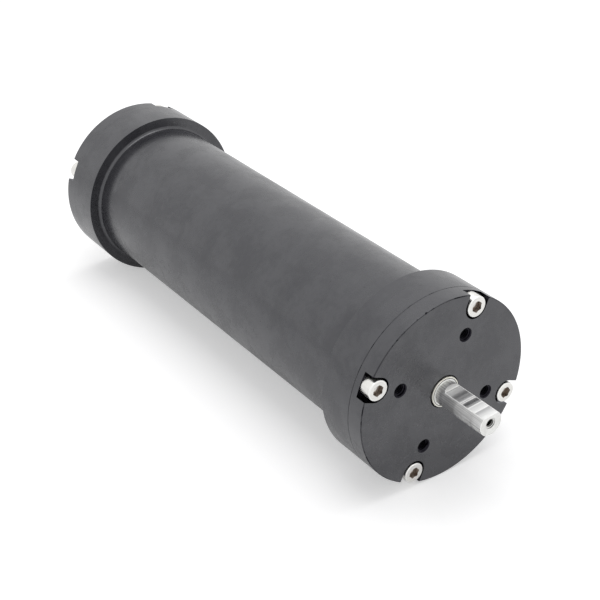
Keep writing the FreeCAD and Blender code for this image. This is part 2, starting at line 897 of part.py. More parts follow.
def motor_front_bell():
    """Front end shield with its centring boss and bearing seat."""
    seat_r = motor_bearing.outer_d / 2
    x_back = x_can - bell_spigot
    body = turned([
        (x_bell + motor_pilot_length, bell_bore_r),
        (x_bell + motor_pilot_length, motor_pilot_d / 2 - seat_gap),
        (x_bell, motor_pilot_d / 2 - seat_gap),
        (x_bell, gear_case_r),
        (x_can, gear_case_r),
        (x_can, can_bore_r - seat_gap),
        (x_back, can_bore_r - seat_gap),
        (x_back, seat_r),
        (x_motor_bearing_1, seat_r),
        (x_motor_bearing_1, bell_bore_r),
    ])
    tapped = tapped_hole(m3, x_bell, x_can, face_screw_circle_d / 2)
    tools = ring_of(tapped, tie_screw_count, tie_screw_angle)
    bolt_depth = through_bolt_engagement + through_bolt_tap_spare
    bolt_hole = tapped_hole(m3, x_back + bolt_depth, x_back, through_bolt_r)
    tools += ring_of(bolt_hole, through_bolt_count, through_bolt_angle)
    return body.cut(tools)


def motor_rear_bell():
    """Rear end shield with its bearing seat and the bolt heads sunk in its back."""
    seat_r = motor_bearing.outer_d / 2
    x_front = x_can_end + bell_spigot
    body = turned([
        (x_front, seat_r),
        (x_front, can_bore_r - seat_gap),
        (x_can_end, can_bore_r - seat_gap),
        (x_can_end, gear_case_r),
        (x_motor_end, gear_case_r),
        (x_motor_end, 0),
        (x_washer_seat, 0),
        (x_washer_seat, seat_r),
    ])
    pocket = head_pocket(m3, x_motor_end + m3.head_height, x_motor_end, through_bolt_r)
    hole = clearance_hole(m3, x_front, x_motor_end, through_bolt_r)
    return body.cut(ring_of(pocket.fuse(hole), through_bolt_count, through_bolt_angle))


def through_bolts():
    """Long screws that clamp both end shields on the can."""
    x_head = x_motor_end + m3.head_height
    length = (x_can - bell_spigot + through_bolt_engagement) - x_head
    screw = screw_from_behind(m3, length, x_head, through_bolt_r)
    return ring_of(screw, through_bolt_count, through_bolt_angle)


def sector(x_front, x_back, outer_r, inner_r, half_angle):
    """Part of a ring, centred on the +Y side."""
    a = math.radians(half_angle)
    outer = [polar(x_back, outer_r, -a), polar(x_back, outer_r, 0), polar(x_back, outer_r, a)]
    inner = [polar(x_back, inner_r, a), polar(x_back, inner_r, 0), polar(x_back, inner_r, -a)]
    edges = [
        Part.Arc(*outer).toShape(),
        Part.LineSegment(outer[2], inner[0]).toShape(),
        Part.Arc(*inner).toShape(),
        Part.LineSegment(inner[2], outer[0]).toShape(),
    ]
    face = Part.Face(Part.Wire(edges))
    return face.extrude(FreeCAD.Vector(x_front - x_back, 0, 0))


def field_magnets():
    """Two curved magnets bonded in the can, clear of the through bolts."""
    inner_r = can_bore_r - magnet_thickness
    x_front = x_core + magnet_overhang
    x_back = x_core_end - magnet_overhang
    magnet = sector(x_front, x_back, can_bore_r, inner_r, magnet_arc / 2)
    return ring_of(magnet, 2, through_bolt_angle + 90)


def slot_outline(x, inset):
    """Section of one armature slot, made smaller all round by the inset."""
    floor_r = slot_floor_d / 2 + inset
    top_r = armature_r - slot_lip - inset
    floor_half = slot_floor_width / 2 - inset
    top_half = slot_top_width / 2 - inset
    corners = [
        FreeCAD.Vector(x, floor_r, -floor_half),
        FreeCAD.Vector(x, top_r, -top_half),
        FreeCAD.Vector(x, top_r, top_half),
        FreeCAD.Vector(x, floor_r, floor_half),
    ]
    return Part.Face(Part.makePolygon(corners + corners[:1]))


def armature_core():
    """Slotted iron stack on the motor shaft."""
    body = sleeve(x_core, x_core_end, armature_r, motor_shaft_r)
    slot = slot_outline(x_core_end, 0).extrude(FreeCAD.Vector(core_length, 0, 0))
    corner = FreeCAD.Vector(x_core_end, armature_r - slot_lip - overcut, -slot_opening / 2)
    opening = Part.makeBox(core_length, slot_lip + 2 * overcut, slot_opening, corner)
    return body.cut(ring_of(slot.fuse(opening), slot_count, 0))


def end_turns(x_front, x_back):
    """Rounded bundle of wire at one end of the armature."""
    outer_r = armature_r - end_turn_step
    inner_r = end_turn_bore_d / 2
    return turned([
        (x_front, inner_r),
        (x_front, outer_r - end_turn_round),
        (x_front - end_turn_round, outer_r),
        (x_back + end_turn_round, outer_r),
        (x_back, outer_r - end_turn_round),
        (x_back, inner_r),
    ])


def armature_windings():
    """Varnished copper: a bar in each slot, joined by the end turns."""
    bar = slot_outline(x_core_end, slot_liner).extrude(FreeCAD.Vector(core_length, 0, 0))
    body = end_turns(x_core + end_turn_length, x_core)
    body = body.fuse(end_turns(x_core_end, x_core_end - end_turn_length))
    return body.fuse(ring_of(bar, slot_count, 0))


def armature_shaft():
    """Motor shaft, stepped down at the front for the first sun gear."""
    x_tip = x_planet_1
    x_step = x_planet_1 - stage_1_width - 2 * pin_head_width
    return turned([
        (x_tip, 0),
        (x_tip, sun_bore_d / 2),
        (x_step, sun_bore_d / 2),
        (x_step, motor_shaft_r),
        (x_washer_seat + shaft_end_gap, motor_shaft_r),
        (x_washer_seat + shaft_end_gap, 0),
    ])


def commutator_segments():
    """Copper bars of the commutator, each with a raised hook for its wires."""
    hub_r = motor_shaft_r + commutator_hub_wall
    half = 180.0 / slot_count - math.degrees(commutator_slit / 2 / commutator_r)
    bar = sector(x_commutator, x_commutator_end, commutator_r, hub_r, half)
    hook = sector(x_commutator, x_commutator - riser_width, commutator_r + riser_height, hub_r, half)
    return ring_of(bar.fuse(hook).removeSplitter(), slot_count, 180.0 / slot_count)


def commutator_hub():
    hub_r = motor_shaft_r + commutator_hub_wall
    return sleeve(x_commutator, x_commutator_end, hub_r, motor_shaft_r)


def brush_block(x_front, x_back, inner_r, outer_r, width):
    """Block on the +Y side that points at the axis."""
    corner = FreeCAD.Vector(x_back, inner_r, -width / 2)
    return Part.makeBox(x_front - x_back, outer_r - inner_r, width, corner)


def brush_holder():
    """Insulating plate with two square guides for the brushes."""
    body = sleeve(x_brush_plate, x_brush_plate - brush_plate, can_bore_r - seat_gap, brush_plate_bore_d / 2)
    holes = ring_of(
        clearance_hole(m3, x_brush_plate, x_brush_plate - brush_plate, through_bolt_r),
        through_bolt_count,
        through_bolt_angle,
    )
    body = body.cut(holes)
    inner_r = commutator_r + brush_box_start
    x_front = x_brush + brush_length + brush_gap + brush_box_wall
    width = brush_width + 2 * (brush_gap + brush_box_wall)
    box = brush_block(x_front, x_brush_plate - brush_plate / 2, inner_r, brush_box_end_r, width)
    channel_front = x_brush + brush_length + brush_gap
    channel = brush_block(channel_front, x_brush_plate, inner_r - overcut, brush_box_end_r + overcut,
                          brush_width + 2 * brush_gap)
    body = body.fuse(ring_of(box, 2, through_bolt_angle + 90))
    body = body.cut(ring_of(channel, 2, through_bolt_angle + 90))
    return body.cut(rod(x_brush_plate + overcut, x_brush_plate - brush_plate, inner_r))


def carbon_brushes():
    """Two brushes, hollowed at the tip to the curve of the commutator."""
    block = brush_block(x_brush + brush_length, x_brush, 0, brush_end_r, brush_width)
    block = block.cut(rod(x_brush + brush_length, x_brush, commutator_r + running_gap))
    return ring_of(block, 2, through_bolt_angle + 90)


def brush_springs():
    """Bent strips that press the brushes on the commutator."""
    x_middle = x_brush + brush_length / 2
    x_front = x_middle + brush_spring_width / 2
    x_back = x_middle - brush_spring_width / 2
    pad = brush_block(x_front, x_back, brush_end_r, brush_end_r + brush_spring_thickness, brush_width)
    leg_r = brush_box_end_r + brush_spring_thickness
    leg = FreeCAD.Vector(x_back, brush_end_r, brush_width / 2 - brush_spring_thickness)
    wall = Part.makeBox(brush_spring_width, leg_r - brush_end_r, brush_spring_thickness, leg)
    arm_start = FreeCAD.Vector(x_back, brush_box_end_r, brush_width / 2 - brush_spring_thickness)
    arm_length = brush_box_wall + brush_gap + brush_spring_thickness
    arm = Part.makeBox(brush_spring_width, brush_spring_thickness, arm_length, arm_start)
    spring = pad.fuse(wall).fuse(arm).removeSplitter()
    return ring_of(spring, 2, through_bolt_angle + 90)


def support_ring():
    """Ring that centres the back of the motor in the tube."""
    x_front = x_motor_end + support_back_set + support_width
    x_back = x_motor_end + support_back_set
    outer_r = bore_r - support_gap
    body = sleeve(x_front, x_back, outer_r, gear_case_r + seat_gap)
    return body.cut(o_ring_groove((x_front + x_back) / 2))


# Cable gland

def gland_body():
    """Threaded body with its hexagon and the neck that the dome nut screws on."""
    bore_here = gland_bore_d / 2
    x_inside = x_body_end + gland_thread_length
    body = turned([
        (x_inside, bore_here),
        (x_inside, gland_thread_d / 2 - gland_thread_chamfer),
        (x_inside - gland_thread_chamfer, gland_thread_d / 2),
        (x_gland_hex, gland_thread_d / 2),
        (x_gland_hex, gland_neck_d / 2),
        (x_gland_end, gland_neck_d / 2),
        (x_gland_end, bore_here),
    ])
    collar = hexagon_chamfered(x_gland_hex, x_gland_neck, gland_hex_af, gland_hex_chamfer)
    collar = collar.cut(rod(x_gland_hex, x_gland_neck, bore_here))
    return body.fuse(collar)


def gland_insert():
    """Rubber sleeve that is squeezed round the cable."""
    outer_r = gland_bore_d / 2
    x_front = x_gland_end + insert_length
    return turned([
        (x_front, outer_r),
        (x_front, outer_r - insert_wall),
        (x_gland_end - dome_nut_gap, outer_r - insert_wall),
        (x_gland_end - dome_nut_gap, outer_r),
    ])


def gland_dome_nut():
    """Nut with a hexagon at its foot and a rounded nose."""
    x_front = x_gland_neck - dome_nut_gap
    x_step = x_front - dome_hex_length
    x_back = x_front - dome_nut_length
    foot_r = gland_hex_af / 2
    mouth_r = dome_mouth_d / 2
    hexed = hexagon_chamfered(x_front, x_step, gland_hex_af, gland_hex_chamfer)
    foot = FreeCAD.Vector(x_step, 0, foot_r)
    rim = FreeCAD.Vector(x_back, 0, mouth_r + dome_rim)
    crown = (foot + rim) * 0.5 + FreeCAD.Vector(-dome_bulge, 0, dome_bulge)
    floor = Part.makePolygon([rim, FreeCAD.Vector(x_back, 0, 0), FreeCAD.Vector(x_step, 0, 0), foot])
    outline = Part.Wire([Part.Arc(foot, crown, rim).toShape()] + floor.Edges)
    body = hexed.fuse(Part.Face(outline).revolve(ORIGIN, AXIS, 360))
    inside = rod(x_front, x_gland_end - dome_nut_gap, gland_neck_d / 2 + thread_gap)
    return body.cut([inside, rod(x_front, x_back, mouth_r)])


def build():
    """Every node of the gear motor with its solids."""
    nodes = {
        "housing_tube": [housing_tube()],
        "front_cover": [front_cover()],
        "rear_cover": [rear_cover()],
        "front_cover_screws": cover_screws(0.0, 1),
        "rear_cover_screws": cover_screws(x_body_end, -1),
        "cover_o_rings": [o_ring(o_ring_x(x_cover, -1)), o_ring(o_ring_x(x_rear_cover, 1))],
        "shaft_lip_seals": [lip_seal(x_seal - index * seal_width) for index in range(seal_count)],
        "gland_body": [gland_body()],
        "gland_face_seal": [sleeve(x_body_end, x_gland_hex, gland_thread_d / 2 + gland_seal_wall,
                                   gland_thread_d / 2 + thread_gap)],
        "gland_rubber_insert": [gland_insert()],
        "gland_dome_nut": [gland_dome_nut()],
        "gearbox_output_housing": [output_housing()],
        "gearbox_flange_screws": flange_screws(),
        "front_bearing_outer_ring": [bearing_outer(output_bearing, x_bearing_1)],
        "rear_bearing_outer_ring": [bearing_outer(output_bearing, x_bearing_2)],
        "front_bearing_inner_ring": [bearing_inner(output_bearing, x_bearing_1)],
        "rear_bearing_inner_ring": [bearing_inner(output_bearing, x_bearing_2)],
        "bearing_spacer": [sleeve(x_spacer, x_bearing_2, output_bearing.outer_d / 2,
                                  output_bearing.outer_d / 2 - bearing_spacer_wall)],
        "inner_ring_spacer": [sleeve(x_spacer, x_bearing_2, output_bearing.inner_land_d / 2, journal_r)],
        "housing_retaining_ring": [split_ring(x_retainer, output_bearing.outer_d / 2 + retainer_depth,
                                              output_bearing.outer_d / 2 - retainer_reach, 40)],
        "shaft_retaining_ring": [split_ring(shaft_ring_x(), journal_r + retainer_reach,
                                            journal_r - retainer_depth, 40)],
        "shaft_shim": [sleeve(x_bearing_1 + shim_width, x_bearing_1, journal_r + retainer_reach, journal_r)],
        "output_shaft": [output_shaft()],
        "ring_gear_housing": [ring_gear_housing()],
        "stage_2_planet_pins": planet_pins(x_plate_2, stage_2_plate, x_pin_head_2),
        "stage_2_thrust_washers": thrust_washers(x_washer_2),
        "stage_2_sun_gear": [stage_2_sun_gear()],
        "stage_1_carrier": [stage_1_carrier()],
        "stage_1_planet_pins": planet_pins(x_plate_1, stage_1_plate, x_pin_head_1),
        "stage_1_thrust_washers": thrust_washers(x_washer_1),
        "stage_1_sun_gear": [stage_1_sun_gear()],
        "gearbox_tie_screws": tie_screws(),
        "motor_adapter_plate": [adapter_plate()],
        "motor_face_screws": motor_face_screws(),
        "motor_front_bell": [motor_front_bell()],
        "motor_can": [sleeve(x_can, x_can_end, gear_case_r, can_bore_r)],
        "motor_rear_bell": [motor_rear_bell()],
        "motor_through_bolts": through_bolts(),
        "motor_bearing_outer_rings": [bearing_outer(motor_bearing, x_motor_bearing_1),
                                      bearing_outer(motor_bearing, x_motor_bearing_2)],
        "motor_bearing_inner_rings": [bearing_inner(motor_bearing, x_motor_bearing_1),
                                      bearing_inner(motor_bearing, x_motor_bearing_2)],
        "bearing_spring_washer": [sleeve(x_spring_washer, x_washer_seat, motor_bearing.outer_d / 2,
                                         motor_bearing.outer_d / 2 - spring_washer_wall)],
        "field_magnets": field_magnets(),
        "armature_shaft": [armature_shaft()],
        "armature_core": [armature_core()],
        "armature_windings": [armature_windings()],
        "commutator_hub": [commutator_hub()],
        "commutator_segments": commutator_segments(),
        "brush_holder": [brush_holder()],
        "carbon_brushes": carbon_brushes(),
        "brush_springs": brush_springs(),
        "motor_support_ring": [support_ring()],
        "support_rubber_ring": [o_ring(x_motor_end + support_back_set + support_width / 2)],
    }
    for index in range(planet_count):
        name = str(index + 1)
        nodes["stage_2_planet_gear_" + name] = [planet_gear(index, x_planet_2, stage_2_width)]
        nodes["stage_1_planet_gear_" + name] = [planet_gear(index, x_planet_1, stage_1_width)]
    return nodes


def export(nodes):
    """One STEP file for each node; alike pieces of a node stay separate solids."""
    os.makedirs("parts", exist_ok=True)
    for name, solids in nodes.items():
        shape = solids[0] if len(solids) == 1 else Part.makeCompound(solids)
        shape.exportStep("parts/" + name + ".step")


export(build())
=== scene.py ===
"""Underwater gear motor, dressed for rendering.

A sealed round housing, turned from black hard-anodised aluminium, holds a brushed motor and a
two-stage planetary gearbox. The front cover carries four socket screws in open slots, four
tapped mounting holes and the stainless output shaft with its long flat.

Mesh code works in millimetres. Each piece is scaled to metres when it is settled into the scene.
"""
import logging
import math
from dataclasses import dataclass
from enum import Enum
from typing import Callable, Dict, List, Optional, Sequence, Tuple, Union

import bmesh
import bpy
from mathutils import Matrix, Vector


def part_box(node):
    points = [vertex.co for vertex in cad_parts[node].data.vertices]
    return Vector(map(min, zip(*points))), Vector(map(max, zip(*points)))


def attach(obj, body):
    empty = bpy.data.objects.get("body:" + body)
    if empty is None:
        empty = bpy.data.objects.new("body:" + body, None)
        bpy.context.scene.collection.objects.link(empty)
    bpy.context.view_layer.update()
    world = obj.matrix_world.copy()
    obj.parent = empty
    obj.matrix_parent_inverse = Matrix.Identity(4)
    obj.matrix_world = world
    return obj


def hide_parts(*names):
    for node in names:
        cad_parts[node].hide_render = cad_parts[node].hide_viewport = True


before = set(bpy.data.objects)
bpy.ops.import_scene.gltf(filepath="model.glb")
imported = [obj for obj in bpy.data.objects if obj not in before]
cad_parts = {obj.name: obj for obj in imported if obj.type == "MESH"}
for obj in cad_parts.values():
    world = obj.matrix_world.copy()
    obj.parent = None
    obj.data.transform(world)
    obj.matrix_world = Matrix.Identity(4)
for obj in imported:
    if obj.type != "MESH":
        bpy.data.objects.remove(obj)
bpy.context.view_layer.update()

log = logging.getLogger("gear_motor")

MM = 0.001
PER_METRE = 1000.0
QUARTER = math.pi / 2
OVERCUT = 1.0
MERGE = 0.0005
ON_RIM = 0.01
SHARP_ANGLE = math.radians(40)
CREASE_ANGLE = math.radians(30)
THREAD_FOOT = 0.33
THREAD_CREST = 0.08
COVER_STEPS = 192
GLAND_STEPS = 96
HOLE_STEPS = 48
SMALL_HOLE_STEPS = 32
MASK_MIDDLE = 0.5
BARE_METAL = 0.5

Mesh = bmesh.types.BMesh
Edge = bmesh.types.BMEdge
Corner = Tuple[float, float, float]
Colour = Tuple[float, float, float]
Tree = bpy.types.NodeTree
Node = bpy.types.Node
Socket = bpy.types.NodeSocket
Sockets = Dict[str, Socket]
Value = Union[Socket, float]


class End(Enum):
    """The two ends of the housing, with the direction that points out of the motor."""

    FRONT = 1
    REAR = -1


class Body(Enum):
    """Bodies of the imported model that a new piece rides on."""

    HOUSING = "housing"
    OUTPUT = "output"


class Cut(Enum):
    """What a tool does to the stock."""

    REMOVE = "DIFFERENCE"
    KEEP_COMMON = "INTERSECT"


# Turning and milling


def off_axis(place: Vector) -> float:
    """Distance of a place from the turning axis."""
    return math.hypot(place.y, place.z)


def facing(degrees: float) -> Vector:
    """Direction across the axis, by its angle from +Y towards +Z."""
    turn = math.radians(degrees)
    return Vector((0.0, math.cos(turn), math.sin(turn)))


def close_up(bm: Mesh) -> Mesh:
    """Merges doubles and turns the faces outwards.

    Args:
        bm: mesh in millimetres.

    Returns:
        The same mesh.
    """
    bmesh.ops.remove_doubles(bm, verts=bm.verts[:], dist=MERGE)
    bmesh.ops.recalc_face_normals(bm, faces=bm.faces[:])
    return bm


def layers(bm: Mesh) -> None:
    """Adds the attributes that the finishes read.

    Args:
        bm: mesh in millimetres.
    """
    for kind, name in ((bm.faces, "broken_edge"), (bm.faces, "recess"), (bm.verts, "turn_radius")):
        if kind.layers.float.get(name) is None:
            kind.layers.float.new(name)


def mark_radius(bm: Mesh) -> Mesh:
    """Stores each vertex's distance from the axis, in millimetres, while the piece is still centred.

    Args:
        bm: mesh in millimetres.

    Returns:
        The same mesh.
    """
    layers(bm)
    store = bm.verts.layers.float["turn_radius"]
    for vert in bm.verts:
        vert[store] = off_axis(vert.co)
    return bm


def mark_recess(bm: Mesh, inside: Callable[[Vector], bool], depth: float = 1.0) -> Mesh:
    """Marks the faces of holes and slots, which are painted dark as shade.

    Args:
        bm: mesh in millimetres.
        inside: tells whether a face's middle lies in a recess.
        depth: 1 for a deep wall, less for a floor that catches light.

    Returns:
        The same mesh.
    """
    layers(bm)
    store = bm.faces.layers.float["recess"]
    for face in bm.faces:
        if inside(face.calc_center_median()):
            face[store] = depth
    return bm


def round_edges(bm: Mesh, edges: Sequence[Edge], size: float, segments: int, mark_broken: bool = True) -> None:
    """Breaks edges with a small radius and marks the new faces as broken edge.

    Args:
        bm: mesh in millimetres.
        edges: the edges to break.
        size: width taken off each neighbouring face.
        segments: facets across the radius.
        mark_broken: mark the new faces as broken edges.
    """
    if not edges:
        return
    made = bmesh.ops.bevel(bm, geom=list(edges), offset=size, offset_type="OFFSET", segments=segments,
                           profile=0.5, affect="EDGES", material=-1, clamp_overlap=True)
    store = bm.faces.layers.float["broken_edge"]
    for face in made["faces"]:
        face[store] = float(mark_broken)


def wire(points: Sequence[Tuple[float, float]]) -> Mesh:
    """Closed outline without a face, from (place along the axis, radius).

    Args:
        points: its corners in order.

    Returns:
        A mesh of edges.
    """
    bm = bmesh.new()
    bm.faces.new([bm.verts.new((x, 0.0, radius)) for x, radius in points])
    bmesh.ops.delete(bm, geom=bm.faces[:], context="FACES_ONLY")
    return bm


def spin(bm: Mesh, angle: float, steps: int, advance: float = 0.0) -> None:
    """Spins an outline about the axis; with an advance for each step it winds instead."""
    bmesh.ops.spin(bm, geom=bm.verts[:] + bm.edges[:], cent=(0, 0, 0), axis=(1, 0, 0), dvec=(advance, 0, 0),
                   angle=angle, steps=steps, use_merge=advance == 0.0, use_normal_flip=False)


def lathe(outline: Sequence[Corner], steps: int = 160, segments: int = 3,
          plain: Sequence[float] = ()) -> Mesh:
    """Turns an outline about the motor's axis and breaks its corners.

    Args:
        outline: corners in order, as (place along the axis, radius, rounding), in millimetres.
        steps: facets round the axis.
        segments: facets across a rounding.
        plain: roundings that are not marked as broken edges.

    Returns:
        A closed mesh with its broken edges marked.
    """
    bm = wire([(x, radius) for x, radius, _ in outline])
    on_axis = [edge for edge in bm.edges if all(abs(vert.co.z) < MERGE for vert in edge.verts)]
    bmesh.ops.delete(bm, geom=on_axis, context="EDGES")
    spin(bm, math.tau, steps)
    close_up(bm)
    layers(bm)
    for x, radius, rounding in outline:
        if rounding > 0.0:
            rim = [edge for edge in bm.edges
                   if all(abs(vert.co.x - x) < MERGE and abs(off_axis(vert.co) - radius) < ON_RIM
                          for vert in edge.verts)]
            round_edges(bm, rim, rounding, segments, rounding not in plain)
    return mark_radius(bm)


def turned(bm: Mesh, angle: float, axis: str = "X") -> Mesh:
    """Turns a mesh about an axis through the origin, by an angle in radians."""
    bmesh.ops.rotate(bm, cent=(0, 0, 0), matrix=Matrix.Rotation(angle, 3, axis), verts=bm.verts[:])
    return bm


def moved(bm: Mesh, x: float = 0.0, y: float = 0.0) -> Mesh:
    """Moves a mesh by millimetres."""
    bmesh.ops.translate(bm, vec=(x, y, 0.0), verts=bm.verts[:])
    return bm


def joined(parts: Sequence[Mesh]) -> Mesh:
    """Puts several meshes into one, with their attributes kept.

    Args:
        parts: the meshes; they are used up.

    Returns:
        One mesh.
    """
    whole = bmesh.new()
    layers(whole)
    for part in parts:
        layers(part)
        carrier = bpy.data.meshes.new("carrier")
        part.to_mesh(carrier)
        part.free()
        whole.from_mesh(carrier)
        bpy.data.meshes.remove(carrier)
    return whole


def ring_of(make: Callable[[], Mesh], count: int, first: float) -> List[Mesh]:
    """Makes evenly spaced copies round the axis.

    Args:
        make: builds one copy on the +Y side.
        count: how many copies.
        first: angle of the first from +Y towards +Z, in degrees.

    Returns:
        The copies.
    """
    return [turned(make(), math.radians(first) + index * math.tau / count) for index in range(count)]


def bar(x_start: float, x_end: float, radius: float, steps: int = HOLE_STEPS) -> Mesh:
    """Round bar on the axis between two places."""
    return lathe([(x_start, 0, 0), (x_start, radius, 0), (x_end, radius, 0), (x_end, 0, 0)], steps)


def hexagon(x_start: float, x_end: float, across_flats: float) -> Mesh:
    """Six-sided bar on the axis between two places.

    Args:
        x_start: one end.
        x_end: the other end.
        across_flats: its width.

    Returns:
        A closed mesh.
    """
    bm = bmesh.new()
    corner_r = across_flats / math.sqrt(3)
    bmesh.ops.create_cone(bm, cap_ends=True, segments=6, radius1=corner_r, radius2=corner_r,
                          depth=abs(x_end - x_start))
    turned(bm, QUARTER, "Y")
    return mark_radius(moved(bm, (x_start + x_end) / 2))


def drill(x_face: float, radius: float, depth: float, chamfer: float) -> Mesh:
    """Tool for a hole in a front face, with its chamfer and drill point.

    Args:
        x_face: place of the face.
        radius: radius of the hole.
        depth: depth of the hole.
        chamfer: width of its chamfer.

    Returns:
        A closed mesh.
    """
    wide = radius + chamfer
    floor = x_face - depth
    return lathe([
        (x_face + OVERCUT, 0, 0), (x_face + OVERCUT, wide, 0), (x_face, wide, 0),
        (x_face - chamfer, radius, 0), (floor, radius, 0), (floor - radius / 2, 0, 0),
    ], HOLE_STEPS)


def milled_path(corners: Sequence[Corner], rounded: Sequence[int], radius: float, segments: int,
                travel: Corner) -> Mesh:
    """Closed tool that an outline sweeps in a straight line.

    Args:
        corners: corners of the outline in order.
        rounded: which of them are round.
        radius: how far their rounding reaches.
        segments: facets across a rounding.
        travel: how far the outline moves.

    Returns:
        A closed mesh.
    """
    bm = bmesh.new()
    made = [bm.verts.new(corner) for corner in corners]
    bm.faces.new(made)
    bmesh.ops.bevel(bm, geom=[made[index] for index in rounded], offset=radius, offset_type="OFFSET",
                    segments=segments, profile=0.5, affect="VERTICES", material=-1)
    grown = bmesh.ops.extrude_face_region(bm, geom=bm.faces[:])
    lifted = [item for item in grown["geom"] if isinstance(item, bmesh.types.BMVert)]
    bmesh.ops.translate(bm, vec=travel, verts=lifted)
    return close_up(bm)


def held(bm: Mesh, name: str) -> bpy.types.Object:
    """Wraps a mesh in an object of the scene.

    Args:
        bm: the mesh; it is used up.
        name: name of the object.

    Returns:
        The object.
    """
    mesh = bpy.data.meshes.new(name)
    bm.to_mesh(mesh)
    bm.free()
    holder = bpy.data.objects.new(name, mesh)
    bpy.context.scene.collection.objects.link(holder)
    return holder


def evaluated(holder: bpy.types.Object) -> bpy.types.Mesh:
    """Mesh of an object with its modifiers applied."""
    graph = bpy.context.evaluated_depsgraph_get()
    return bpy.data.meshes.new_from_object(holder.evaluated_get(graph))


def discard(holder: bpy.types.Object) -> None:
    """Removes an object and its mesh.

    Args:
        holder: the object.
    """
    mesh = holder.data
    bpy.data.objects.remove(holder)
    bpy.data.meshes.remove(mesh)


def cut(stock: Mesh, tools: Sequence[Mesh], action: Cut = Cut.REMOVE) -> Mesh:
    """Mills the stock with closed tools.

    Args:
        stock: closed mesh to work on; it is used up.
        tools: closed meshes; they are used up.
        action: take the tools away, or keep what lies in both.

    Returns:
        The milled mesh, with its attributes kept.
    """
    blank = held(stock, "blank")
    rack = bpy.data.collections.new("rack")
    holders = [held(tool, "tool") for tool in tools]
    for holder in holders:
        rack.objects.link(holder)
    mill = blank.modifiers.new("mill", "BOOLEAN")
    mill.operation = action.value
    mill.solver = "EXACT"
    mill.operand_type = "COLLECTION"
    mill.collection = rack
    result = evaluated(blank)
    milled = bmesh.new()
    milled.from_mesh(result)
    for holder in holders + [blank]:
        discard(holder)
    bpy.data.collections.remove(rack)
    bpy.data.meshes.remove(result)
    bmesh.ops.remove_doubles(milled, verts=milled.verts[:], dist=MERGE)
    layers(milled)
    return milled


def break_sharp_edges(bm: Mesh, size: float, where: Callable[[Vector], bool]) -> Mesh:
    """Breaks the edges that milling left sharp.

    Args:
        bm: milled mesh.
        size: width taken off each face.
        where: tells whether a place shows; an edge with an end that doesn't stays sharp.

    Returns:
        The same mesh.
    """
    sharp = [edge for edge in bm.edges
             if len(edge.link_faces) == 2 and edge.calc_face_angle() > SHARP_ANGLE
             and all(where(vert.co) for vert in edge.verts)]
    round_edges(bm, sharp, size, 2)
    return bm


def thread(x_start: float, x_end: float, root_r: float, crest_r: float, pitch: float,
           steps_per_turn: int = 28) -> Mesh:
    """Thread ridge that winds from one place to another.

    Args:
        x_start: where the ridge begins.
        x_end: where it stops.
        root_r: radius where the ridge stands on its wall.
        crest_r: radius of its crest, smaller than root_r in a tapped hole.
        pitch: advance for each turn.
        steps_per_turn: facets round one turn.

    Returns:
        A closed mesh.
    """
    half = pitch * THREAD_FOOT
    crest = pitch * THREAD_CREST
    points = ((-half, root_r), (-crest, crest_r), (crest, crest_r), (half, root_r))
    bm = wire([(x_start + x, radius) for x, radius in points])
    turns = (abs(x_end - x_start) - 2 * half) / pitch
    way = 1 if x_end > x_start else -1
    moved(bm, way * half)
    spin(bm, way * turns * math.tau, int(turns * steps_per_turn), way * pitch / steps_per_turn)
    bmesh.ops.holes_fill(bm, edges=[edge for edge in bm.edges if edge.is_boundary], sides=4)
    return mark_radius(close_up(bm))


# Shader nodes


